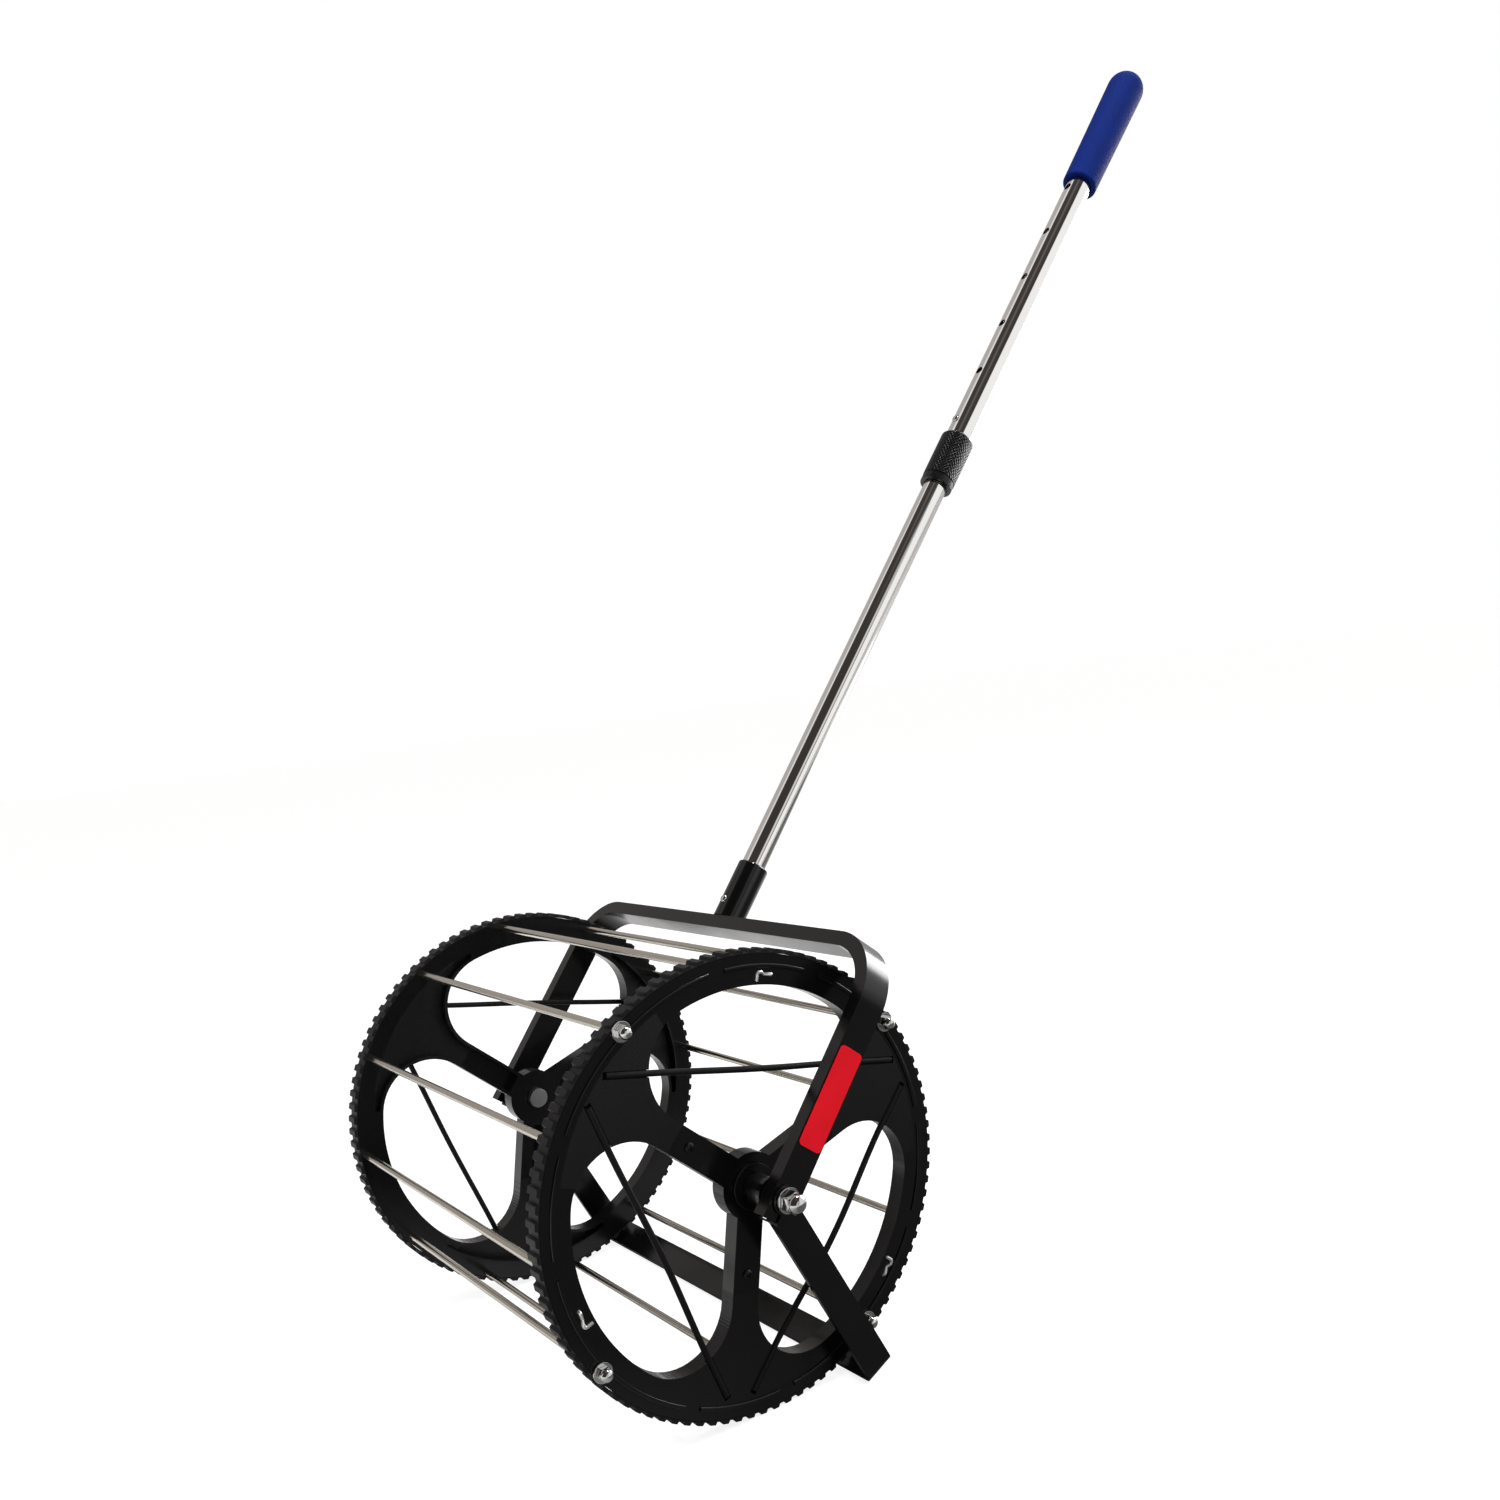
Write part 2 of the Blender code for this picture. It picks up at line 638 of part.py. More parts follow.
def stop_tab(name, side, parts, cutters, frame, surface):
    """Plate under the axle washer whose tongue turns in below the arm's end and stops the stand's leg."""
    back = tab_back_edge()
    front = back - TAB_WIDTH
    low = ARM_END_REACH + SEAT_GAP + TAB_THICKNESS
    start = asin(back / TAB_RADIUS)
    end = asin(front / TAB_RADIUS)
    rim = arc((0.0, 0.0), TAB_RADIUS, -pi / 2 + start, 3 * pi / 2 + end, BORE_SIDES)
    outline = [(back, -low)] + rim + [(front, -low)]
    plate = flat(name, [outline, circle(BORE_RADIUS, BORE_SIDES)], TAB_THICKNESS, parts)
    plate.data.transform(ACROSS_AXLE)
    plate.data.transform(Matrix.Translation((TAB_FACE + TAB_THICKNESS / 2, 0.0, 0.0)))
    length = TAB_FACE + TAB_THICKNESS / 2 - LEG_INNER_FACE
    tongue = box(
        name + "_tongue",
        (length, TAB_WIDTH, TAB_THICKNESS),
        (LEG_INNER_FACE + length / 2, (front + back) / 2, -low + TAB_THICKNESS / 2),
        cutters,
    )
    boolean(plate, tongue, "UNION")
    set_in(frame, plate, tongue)
    if side < 0:
        mirror = Matrix.Diagonal((-1.0, 1.0, 1.0, 1.0))
        for piece in (plate, tongue):
            piece.data.transform(mirror)
            piece.data.flip_normals()
    finish(plate, surface)


def axle_hardware(parts, cutters, frame, surfaces):
    """Stub bolts with their spacers, washers, stop tabs and domed nuts, on both sides of the drum."""
    for side_name, side in (("near", 1), ("far", -1)):
        turn = side * pi / 2
        head_high = WHEEL_INNER_FACE - SEAT_GAP
        head_low = head_high - BOLT_HEAD_HEIGHT
        nut_depth = AXLE_NUT_HEX_HEIGHT + NUT_BORE_SPARE
        bolt_end = AXLE_NUT_FACE + nut_depth - SEAT_GAP
        bolt_profile = [
            (0.0, bolt_end), (BOLT_RADIUS, bolt_end), (BOLT_RADIUS, head_high),
            (BOLT_HEAD_RADIUS, head_high), (BOLT_HEAD_RADIUS, head_low), (0.0, head_low),
        ]
        bolt = turned(f"axle_bolt_{side_name}", bolt_profile, BORE_SIDES, parts)
        finish(bolt, surfaces["steel"])
        spacer_span = (BOSS_FACE + SEAT_GAP, LEG_INNER_FACE - SEAT_GAP)
        spacer = ring(f"spacer_{side_name}", SPACER_RADIUS, BORE_RADIUS, *spacer_span, BORE_SIDES, parts)
        finish(spacer, surfaces["black"])
        washer_span = (LEG_WASHER_FACE, LEG_WASHER_FACE + LEG_WASHER_THICKNESS)
        leg_washer = ring(f"leg_washer_{side_name}", SPACER_RADIUS, BORE_RADIUS, *washer_span, BORE_SIDES, parts)
        finish(leg_washer, surfaces["black"])
        chrome_span = (AXLE_WASHER_FACE, AXLE_WASHER_FACE + AXLE_WASHER_THICKNESS)
        chrome = ring(f"axle_washer_{side_name}", AXLE_WASHER_RADIUS, BORE_RADIUS, *chrome_span, BORE_SIDES, parts)
        finish(chrome, surfaces["chrome"])
        for piece in (bolt, spacer, leg_washer, chrome):
            piece.rotation_euler.y = turn
            set_in(frame, piece)
        sizes = (
            0.0, 0.0, AXLE_NUT_RADIUS, AXLE_NUT_HEX_HEIGHT,
            AXLE_NUT_DOME_HEIGHT, BORE_RADIUS, nut_depth,
        )
        nut = cap_nut(f"axle_nut_{side_name}", sizes, parts, frame, surfaces["chrome"])
        nut.rotation_euler.y = turn
        nut.location.x = side * AXLE_NUT_FACE
        stop_tab(f"stop_tab_{side_name}", side, parts, cutters, frame, surfaces["steel"])


def u_outline(half_span, low, high, radius, depth):
    """U-shaped band in its XY plane: outer edge, bends and inner edge, open at its low end."""
    centre = (half_span - radius, high - radius)
    outer = [(half_span, low)] + arc(centre, radius, 0.0, pi / 2, BEND_STEPS)
    inner_radius = radius - depth
    inner = [(half_span - depth, low)] + arc(centre, inner_radius, 0.0, pi / 2, BEND_STEPS)
    outer_other = [(-x, y) for x, y in reversed(outer)]
    inner_other = [(-x, y) for x, y in reversed(inner)]
    return outer + outer_other + list(reversed(inner_other)) + list(reversed(inner))


def stand_up(piece):
    """Turn a flat piece from its XY plane into the frame's XZ plane."""
    piece.data.transform(Matrix.Rotation(pi / 2, 4, "X"))


def yoke(parts, cutters, frame, surface):
    """Rectangular tube bent to a U, with open ends and a bolt hole in each arm."""
    body = flat(
        "yoke", [u_outline(YOKE_HALF_SPAN, -ARM_END_REACH, YOKE_REACH, YOKE_BEND_RADIUS, YOKE_DEPTH)],
        YOKE_WIDTH, parts,
    )
    stand_up(body)
    edge = body.modifiers.new("Rounded edges", "BEVEL")
    edge.width = YOKE_EDGE
    edge.segments = 1
    edge.limit_method = "ANGLE"
    edge.angle_limit = radians(60)
    hollow = flat(
        "yoke_hollow",
        [
            u_outline(
                YOKE_HALF_SPAN - YOKE_WALL, -ARM_END_REACH - CUT_OVERSHOOT, YOKE_REACH - YOKE_WALL,
                YOKE_BEND_RADIUS - YOKE_WALL, YOKE_DEPTH - 2 * YOKE_WALL,
            )
        ],
        YOKE_WIDTH - 2 * YOKE_WALL, cutters,
    )
    stand_up(hollow)
    reach = YOKE_HALF_SPAN + CUT_OVERSHOOT
    hole = cylinder("yoke_hole", BORE_RADIUS, -reach, reach, BORE_SIDES, cutters)
    hole.rotation_euler.y = pi / 2
    boolean(body, hollow, "DIFFERENCE")
    boolean(body, hole, "DIFFERENCE")
    set_in(frame, body, hollow, hole)
    finish(body, surface)


def label(parts, frame, surface):
    """Plain sticker on the near arm."""
    half_width = LABEL_WIDTH / 2 - LABEL_EDGE
    half_length = LABEL_LENGTH / 2 - LABEL_EDGE
    outline = []
    for x, y, start in ((1, 1, 0.0), (-1, 1, pi / 2), (-1, -1, pi), (1, -1, 3 * pi / 2)):
        outline += arc((x * half_width, y * half_length), LABEL_EDGE, start, start + pi / 2, 3)
    sticker = flat("label", [outline], LABEL_THICKNESS, parts)
    sticker.rotation_euler = (pi / 2, 0.0, pi / 2)
    sticker.location = (
        YOKE_HALF_SPAN + SEAT_GAP + LABEL_THICKNESS / 2, 0.0, LABEL_LOW + LABEL_LENGTH / 2
    )
    set_in(frame, sticker)
    finish(sticker, surface)


def stand(parts, cutters, frame, surface):
    """Flat bar bent to a U, with rounded and bored leg ends on the axle bolts."""
    half_width = STAND_WIDTH / 2
    body = flat(
        "stand", [u_outline(LEG_OUTER_FACE, -STAND_WIDTH, STAND_REACH, STAND_BEND_RADIUS, STAND_THICKNESS)],
        STAND_WIDTH, parts,
    )
    stand_up(body)
    rounded = arc((0.0, 0.0), half_width, pi, 2 * pi, TUBE_SIDES // 2)
    low = STAND_REACH + CUT_OVERSHOOT
    outline = rounded + [(half_width, low), (-half_width, low)]
    keep = flat(
        "stand_side", [outline, circle(BORE_RADIUS, BORE_SIDES)], 2 * (LEG_OUTER_FACE + CUT_OVERSHOOT), cutters
    )
    keep.data.transform(Matrix.Rotation(pi / 2, 4, "Z") @ Matrix.Rotation(pi / 2, 4, "X"))
    boolean(body, keep, "INTERSECT")
    set_in(frame, body, keep)
    finish(body, surface)


def side_holes(target, radius, reach, places, cutters, frame):
    """Round holes through the front wall of an upright tube."""
    tools = []
    for place in places:
        tool = cylinder("hole", radius, 0.0, reach + CUT_OVERSHOOT, NUT_SIDES, cutters)
        matrix = Matrix.Translation((0.0, 0.0, place)) @ Matrix.Rotation(pi / 2, 4, "X")
        tools.append(placed(tool, matrix))
    tool = joined(target.name + "_holes", tools, cutters)
    boolean(target, tool, "DIFFERENCE")
    set_in(frame, target, tool)


def socket(parts, cutters, frame, surface):
    """Short tube with a floor, fixed on the yoke, that takes the lower tube."""
    profile = [
        (SOCKET_BORE_RADIUS, SOCKET_TOP), (SOCKET_RADIUS - SOCKET_EDGE, SOCKET_TOP),
        (SOCKET_RADIUS, SOCKET_TOP - SOCKET_EDGE), (SOCKET_RADIUS, SOCKET_LOW), (0.0, SOCKET_LOW),
    ]
    floor = SOCKET_LOW + SOCKET_FLOOR
    inside = [(0.0, floor), (SOCKET_BORE_RADIUS, floor)]
    body = as_mesh(turned("socket", profile + inside, TUBE_SIDES, parts, closed=True), parts)
    side_holes(body, BUTTON_HOLE_RADIUS, SOCKET_RADIUS, [LOWER_BUTTON_PLACE], cutters, frame)
    finish(body, surface)


def tubes(parts, cutters, frame, surface):
    """Lower tube, and the upper tube that slides over it, with the row of lock holes."""
    lower = as_mesh(
        ring("lower_tube", LOWER_TUBE_RADIUS, LOWER_BORE_RADIUS, LOWER_TUBE_LOW, LOWER_TUBE_TOP, TUBE_SIDES, parts),
        parts,
    )
    side_holes(
        lower, BUTTON_HOLE_RADIUS, LOWER_TUBE_RADIUS, [LOWER_BUTTON_PLACE, UPPER_BUTTON_PLACE], cutters, frame
    )
    finish(lower, surface)
    upper = as_mesh(
        ring("upper_tube", UPPER_TUBE_RADIUS, UPPER_BORE_RADIUS, UPPER_TUBE_LOW, UPPER_TUBE_TOP, TUBE_SIDES, parts),
        parts,
    )
    places = [UPPER_BUTTON_PLACE + HOLE_PITCH * number for number in range(SPARE_HOLE_COUNT + 1)]
    side_holes(upper, BUTTON_HOLE_RADIUS, UPPER_TUBE_RADIUS, places, cutters, frame)
    finish(upper, surface)


def collar(parts, frame, surface):
    """Plastic sleeve on the upper tube's lower end, with a lip that runs on the lower tube."""
    bore = UPPER_TUBE_RADIUS + SEAT_GAP
    lip = LOWER_TUBE_RADIUS + RUNNING_GAP
    step = COLLAR_LOW + COLLAR_LIP
    profile = [
        (bore, COLLAR_HIGH), (COLLAR_RADIUS - COLLAR_EDGE, COLLAR_HIGH),
        (COLLAR_RADIUS, COLLAR_HIGH - COLLAR_EDGE), (COLLAR_RADIUS, COLLAR_LOW),
        (lip, COLLAR_LOW), (lip, step), (bore, step),
    ]
    sleeve = turned("collar", profile, TUBE_SIDES, parts, closed=True)
    set_in(frame, sleeve)
    finish(sleeve, surface)


def grip_profile():
    """Outer side of the grip, from the top of its dome down to its mouth."""
    dome_low = GRIP_TOP - GRIP_DOME_HEIGHT
    profile = dome_profile(GRIP_HIGH_RADIUS, dome_low, GRIP_DOME_HEIGHT, GRIP_DOME_STEPS)
    profile.append((GRIP_LOW_RADIUS, GRIP_LOW + GRIP_MOUTH_EDGE))
    profile.append((GRIP_MOUTH_RADIUS, GRIP_LOW))
    return profile


def grip(parts, frame, surface):
    """Foam grip pulled over the top of the upper tube."""
    bore = UPPER_TUBE_RADIUS + SEAT_GAP
    top = UPPER_TUBE_TOP + SEAT_GAP
    profile = grip_profile() + [(bore, GRIP_LOW), (bore, top), (0.0, top)]
    foam = turned("grip", profile, TUBE_SIDES, parts)
    set_in(frame, foam)
    finish(foam, surface)


def snap_button(name, place, wall_radius, bore_radius, parts, frame, surface):
    """Button that stands proud of a tube's front wall, with a flange behind the wall."""
    flange = sqrt(bore_radius ** 2 - BUTTON_FLANGE_RADIUS ** 2) - SEAT_GAP
    profile = dome_profile(BUTTON_RADIUS, wall_radius, BUTTON_PROUD, DOME_STEPS)
    profile += [
        (BUTTON_RADIUS, flange), (BUTTON_FLANGE_RADIUS, flange),
        (BUTTON_FLANGE_RADIUS, flange - BUTTON_FLANGE_THICKNESS), (0.0, flange - BUTTON_FLANGE_THICKNESS),
    ]
    button = turned(name, profile, ROD_SIDES, parts)
    button.rotation_euler.x = pi / 2
    button.location.z = place
    set_in(frame, button)
    finish(button, surface)


def leaf_spring(name, place, way, parts, frame, surface):
    """Bent strip spring in the lower tube, from behind a button to the back wall, folded above (1) or below (-1)."""
    flange = sqrt(LOWER_BORE_RADIUS ** 2 - BUTTON_FLANGE_RADIUS ** 2) - SEAT_GAP
    front = -(flange - BUTTON_FLANGE_THICKNESS - SEAT_GAP - LEAF_THICKNESS / 2)
    back = sqrt(LOWER_BORE_RADIUS ** 2 - (LEAF_WIDTH / 2) ** 2) - SEAT_GAP - LEAF_THICKNESS / 2
    head = way * BUTTON_FLANGE_RADIUS
    spine = [
        (front, place - head), (front, place + head),
        (back, place + head + way * LEAF_LENGTH), (back, place - head),
    ]
    normals = []
    for step in range(len(spine)):
        before = Vector(spine[max(step - 1, 0)])
        after = Vector(spine[min(step + 1, len(spine) - 1)])
        here = Vector(spine[step])
        first = (here - before).normalized() if step else (after - here).normalized()
        second = (after - here).normalized() if step < len(spine) - 1 else first
        mean = (first + second).normalized()
        normal = Vector((-mean.y, mean.x))
        side = Vector((-first.y, first.x))
        normals.append(normal / max(normal.dot(side), LEAF_SHARPEST_MITRE))
    half = LEAF_THICKNESS / 2
    one = [tuple(Vector(point) + normal * half) for point, normal in zip(spine, normals)]
    other = [tuple(Vector(point) - normal * half) for point, normal in zip(spine, normals)]
    leaf = flat(name, [one + list(reversed(other))], LEAF_WIDTH, parts)
    leaf.rotation_euler = (pi / 2, 0.0, pi / 2)
    set_in(frame, leaf)
    finish(leaf, surface)


def axle_place():
    """Axle position that puts the origin at the bottom centre of the whole object's box."""
    back = max(height * cos(HANDLE_ANGLE) + radius * sin(HANDLE_ANGLE) for radius, height in grip_profile())
    return Vector((0.0, (WHEEL_RADIUS - back) / 2, WHEEL_RADIUS))


def frame_empty(name, turn, collection):
    """Empty on the axle that carries the pieces modelled in its frame."""
    empty = add_object(name, None, collection)
    empty.matrix_world = Matrix.Translation(axle_place()) @ turn
    return empty


def build():
    """Model the whole collector."""
    for existing in list(bpy.data.objects):
        bpy.data.objects.remove(existing)
    parts = bpy.data.collections.new("ball_roller")
    cutters = bpy.data.collections.new("cutters")
    for collection in (parts, cutters):
        bpy.context.scene.collection.children.link(collection)
    surfaces = {
        "wheel": material("Wheel plastic", (0.012, 0.012, 0.013), 0.32, 0.0),
        "tread": material("Tread rubber", (0.022, 0.022, 0.023), 0.62, 0.0),
        "rod": material("Rod steel", (0.60, 0.58, 0.54), 0.22, 1.0),
        "chrome": material("Nut chrome", (0.78, 0.78, 0.78), 0.12, 1.0),
        "steel": material("Zinc steel", (0.30, 0.30, 0.31), 0.35, 1.0),
        "cord": material("Cord black", (0.010, 0.010, 0.011), 0.55, 0.0),
        "painted": material("Painted black", (0.010, 0.010, 0.011), 0.18, 0.0),
        "black": material("Black plastic", (0.014, 0.014, 0.014), 0.45, 0.0),
        "tube": material("Polished tube", (0.80, 0.79, 0.76), 0.10, 1.0),
        "foam": material("Blue foam", (0.010, 0.045, 0.42), 0.70, 0.0),
        "label": material("Red label", (0.72, 0.015, 0.020), 0.30, 0.0),
    }
    drum = frame_empty("drum_frame", ACROSS_AXLE @ Matrix.Rotation(DRUM_TURN, 4, "Z"), parts)
    handle = frame_empty("handle_frame", Matrix.Rotation(HANDLE_ANGLE - pi / 2, 4, "X"), parts)
    leg = frame_empty("stand_frame", Matrix.Rotation(-STAND_ANGLE - pi / 2, 4, "X"), parts)
    wheels(parts, cutters, drum, surfaces["wheel"])
    treads(parts, drum, surfaces["tread"])
    rods(parts, drum, surfaces["rod"], surfaces["chrome"])
    cords(parts, drum, surfaces["cord"])
    spoke_screws(parts, drum, surfaces["black"])
    axle_hardware(parts, cutters, handle, surfaces)
    yoke(parts, cutters, handle, surfaces["painted"])
    label(parts, handle, surfaces["label"])
    stand(parts, cutters, leg, surfaces["painted"])
    socket(parts, cutters, handle, surfaces["painted"])
    tubes(parts, cutters, handle, surfaces["tube"])
    collar(parts, handle, surfaces["black"])
    grip(parts, handle, surfaces["foam"])
    snap_button(
        "lower_button", LOWER_BUTTON_PLACE, SOCKET_RADIUS, LOWER_BORE_RADIUS, parts, handle, surfaces["chrome"]
    )
    snap_button(
        "upper_button", UPPER_BUTTON_PLACE, UPPER_TUBE_RADIUS, LOWER_BORE_RADIUS, parts, handle, surfaces["chrome"]
    )
    leaf_spring("lower_leaf_spring", LOWER_BUTTON_PLACE, 1, parts, handle, surfaces["steel"])
    leaf_spring("upper_leaf_spring", UPPER_BUTTON_PLACE, -1, parts, handle, surfaces["steel"])
    bpy.context.view_layer.update()


build()
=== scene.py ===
"""Looks of a rolling ball collector: its pieces, finishes, floor, light and camera."""
import json
from math import asin, cos, pi, radians, sin, sqrt

import bmesh
import bpy
from bpy.props import FloatProperty, FloatVectorProperty, IntProperty, PointerProperty
from bpy.types import Operator, Panel, PropertyGroup
from mathutils import Euler, Matrix, Vector


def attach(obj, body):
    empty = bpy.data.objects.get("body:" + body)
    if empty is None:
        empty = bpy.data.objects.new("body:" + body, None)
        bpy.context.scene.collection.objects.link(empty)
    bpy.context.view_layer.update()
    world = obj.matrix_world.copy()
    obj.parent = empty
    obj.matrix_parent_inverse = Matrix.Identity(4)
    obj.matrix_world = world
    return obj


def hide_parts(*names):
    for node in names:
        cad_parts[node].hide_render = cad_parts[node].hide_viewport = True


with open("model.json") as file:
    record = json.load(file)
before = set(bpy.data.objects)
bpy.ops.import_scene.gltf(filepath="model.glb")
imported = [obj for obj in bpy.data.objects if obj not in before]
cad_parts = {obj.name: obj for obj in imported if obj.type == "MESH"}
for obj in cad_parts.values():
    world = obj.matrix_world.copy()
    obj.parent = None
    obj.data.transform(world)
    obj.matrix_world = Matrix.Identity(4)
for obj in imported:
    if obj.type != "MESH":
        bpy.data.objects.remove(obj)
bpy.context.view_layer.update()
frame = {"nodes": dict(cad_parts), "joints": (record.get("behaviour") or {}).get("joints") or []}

bl_info = {
    "name": "Ball Roller",
    "version": (1, 0, 0),
    "blender": (4, 5, 0),
    "location": "3D View > Sidebar > Ball Roller",
    "description": "Models the pieces and finishes of a rolling ball collector",
    "category": "Object",
}

MERGE = 0.000001
SMOOTH_LIMIT = radians(32)
CORD_SMOOTH_LIMIT = radians(60)
SIDES = (("near", 1), ("far", -1))
JOINTS = {joint["name"]: joint for joint in frame["joints"]}
AXLE = Vector(JOINTS["drum_roll"]["pos_m"])
ACROSS_AXLE = Matrix(((0, 0, 1, 0), (1, 0, 0, 0), (0, 1, 0, 0), (0, 0, 0, 1)))
SPOKES = 3
BOLTED_EVERY = 3
FIRST_BOLTED = 1

# Rounding of edges, in metres
WHEEL_EDGE = 0.0007
BOSS_EDGE = 0.0008
BOLT_EDGE = 0.0005
SMALL_EDGE = 0.0004
WASHER_EDGE = 0.0003
TUBE_EDGE = 0.0002

# Shares of the size that each one goes with
NUT_NECK = 0.86
NUT_EDGE = 0.09
RIDGE_ROUND = 0.7
HOOK_BEND = 1.4
CORD_SLOT_WIDTH = 2.3
SCREW_SLOT = 2.4
HOLLOW_DROP = 1.6

# Room and floor
PAPER_WHITE = (1.0, 1.0, 1.0, 1.0)
FLOOR_WHITE = (0.80, 0.80, 0.80, 1.0)
FLOOR_DIM = (0.07, 0.07, 0.07, 1.0)
FLOOR_GLOW = 1.23
FLOOR_GLOW_SHARE = 0.68
DIM_CENTRE = (1.05, 0.50, 0.0)
DIM_TURN = (0.0, 0.0, radians(40))
DIM_REACH = (1.7, 1.0, 1.0)
DIM_CORE = 0.64


def length(name, description, value):
    """Setting for one length, in metres."""
    return FloatProperty(
        name=name, description=description, default=value, min=0.0, precision=5, unit="LENGTH"
    )


def turn(name, description, degrees):
    """Setting for one angle."""
    return FloatProperty(
        name=name, description=description, default=radians(degrees), subtype="ANGLE", unit="ROTATION"
    )


def brightness(name, description, value):
    """Setting for the strength of one light."""
    return FloatProperty(name=name, description=description, default=value, min=0.0)


def colour(name, description, value):
    """Setting for one colour."""
    return FloatVectorProperty(
        name=name, description=description, default=value, size=3, min=0.0, max=1.0, subtype="COLOR"
    )


class RollerDrumSizes(PropertyGroup):
    """Sizes of the drum and of what turns with it."""

    wheel_radius: length("Rim radius", "Radius of a wheel's plastic under its tread", 0.1420)
    wheel_width: length("Wheel width", "Width of a wheel and its tread", 0.012)
    drum_length: length("Drum length", "Between the outer faces of the two wheels", 0.312)
    drum_turn: turn("Drum turn", "How far the drum is turned on its axle", 2.5)
    plate: length("Face plate", "Thickness of a wheel's face plate", 0.0045)
    wall: length("Wall", "Wall round the hollows behind the spokes", 0.0025)
    rim_width: length("Rim width", "Solid rim outside the hollows", 0.0127)
    window_radius: length("Window radius", "From the axle to the outer edge of a window", 0.123)
    window_fillet: length("Window corner", "Radius of a window's outer corners", 0.036)
    hub_radius: length("Hub radius", "From the axle to a window's inner end", 0.021)
    spoke_half_width: length("Half spoke", "Half the width of a spoke", 0.0095)
    spoke_turn: turn("Spoke turn", "Direction of the first spoke in the drum", 15.0)
    boss_radius: length("Boss radius", "Radius of the raised hub", 0.0148)
    boss_height: length("Boss height", "How far the hub stands proud of the wheel", 0.003)
    ridge_low: length("Ridge inner radius", "Inner radius of the raised ridge", 0.1334)
    ridge_high: length("Ridge outer radius", "Outer radius of the raised ridge", 0.1362)
    ridge_height: length("Ridge height", "How far the ridge stands proud", 0.0012)
    ridge_gap: turn("Ridge gap", "Gap in the ridge at each rod", 5.0)
    rod_radius: length("Rod radius", "Radius of a rod", 0.0025)
    rod_circle: length("Rod circle", "From the axle to a rod's middle", 0.1378)
    rod_count: IntProperty(name="Rods", description="Number of rods round the drum", default=12, min=3)
    thread: length("Thread", "How far a bolted rod stands out of its wheel", 0.006)
    rod_nut_flange: length("Nut flange", "Radius of a rod nut's washer face", 0.0063)
    rod_nut_washer: length("Nut washer", "Thickness of a rod nut's washer face", 0.0012)
    rod_nut_radius: length("Nut radius", "Radius over the corners of a rod nut", 0.0047)
    rod_nut_hexagon: length("Nut height", "Height of a rod nut's flats", 0.004)
    rod_nut_dome: length("Nut dome", "Height of a rod nut's dome", 0.0036)
    screw_place: length("Screw place", "From the axle to a spoke's screw", 0.0545)
    screw_radius: length("Screw head", "Radius of a spoke screw's head", 0.0032)
    screw_height: length("Screw head height", "Height of a spoke screw's head", 0.0018)
    cord_radius: length("Cord radius", "Radius of the elastic cords", 0.002)
    cord_offset: length("Cord offset", "From the axle to a cord's line", 0.0725)
    cord_end: length("Cord end", "From the axle to a cord's end", 0.128)
    cord_bow: length("Cord bow", "How far a cord bows out over its window", 0.0045)
    cord_slot: length("Cord slot", "Depth of the slots for the cords' ends", 0.003)
    hook_place: length("Hook place", "From the axle to a window's wire hook", 0.1283)
    hook_width: length("Hook width", "Width of a wire hook", 0.0110)
    hook_leg: length("Hook leg", "Length of a wire hook's legs", 0.0050)
    hook_wire: length("Hook wire", "Radius of a hook's wire", 0.0012)
    hook_step: length("Hook step", "Step inwards of the hook's far half", 0.0014)


class RollerFrameSizes(PropertyGroup):
    """Sizes of the yoke, the stand and the axle's small pieces."""

    seat_gap: length("Seat gap", "Gap between pieces that touch", 0.0003)
    bore_radius: length("Bore radius", "Radius of the holes round the axle bolts", 0.00435)
    bolt_radius: length("Bolt radius", "Radius of an axle bolt", 0.004)
    bolt_head_radius: length("Bolt head", "Radius of an axle bolt's head", 0.0074)
    bolt_head_height: length("Bolt head height", "Height of an axle bolt's head", 0.0053)
    spacer_radius: length("Spacer radius", "Radius of the spacers and leg washers", 0.009)
    leg_washer: length("Leg washer", "Thickness of the washer outside a leg", 0.0026)
    tab: length("Stop tab", "Thickness of the stop tab's plate", 0.0012)
    washer_radius: length("Washer radius", "Radius of the bright washer", 0.008)
    washer: length("Washer", "Thickness of the bright washer", 0.0016)
    nut_radius: length("Axle nut radius", "Radius over the corners of an axle nut", 0.0073)
    nut_hexagon: length("Axle nut height", "Height of an axle nut's flats", 0.0065)
    nut_dome: length("Axle nut dome", "Height of an axle nut's dome", 0.006)
    handle_angle: turn("Handle angle", "Handle above the floor's line", 50.75)
    yoke_half: length("Half yoke", "From the middle to a yoke arm's outer face", 0.191)
    yoke_reach: length("Yoke reach", "From the axle to the crossbar's top", 0.1691)
    yoke_width: length("Yoke width", "Width of the yoke's tube", 0.0206)
    yoke_depth: length("Yoke depth", "Depth of the yoke's tube", 0.010)
    yoke_bend: length("Yoke bend", "Outer radius of the yoke's bends", 0.045)
    yoke_wall: length("Yoke wall", "Wall of the yoke's tube", 0.001)
    yoke_edge: length("Yoke edge", "Rounding of the yoke's edges", 0.0016)
    arm_end: length("Arm end", "How far an arm runs past the axle", 0.0144)
    label_low: length("Label place", "From the axle to the label's lower end", 0.0322)
    label_length: length("Label length", "Length of the label", 0.065)
    label_width: length("Label width", "Width of the label", 0.0184)
    label_thickness: length("Label thickness", "Thickness of the label", 0.0005)
    label_corner: length("Label corner", "Radius of the label's corners", 0.003)
    stand_angle: turn("Stand angle", "Stand below the floor's line", 65.0)
    stand_width: length("Stand width", "Width of the stand's flat bar", 0.0208)
    stand_thickness: length("Stand thickness", "Thickness of the stand's flat bar", 0.0035)
    stand_bend: length("Stand bend", "Outer radius of the stand's bends", 0.005)
    stand_edge: length("Stand edge", "Rounding of the stand's edges", 0.0005)


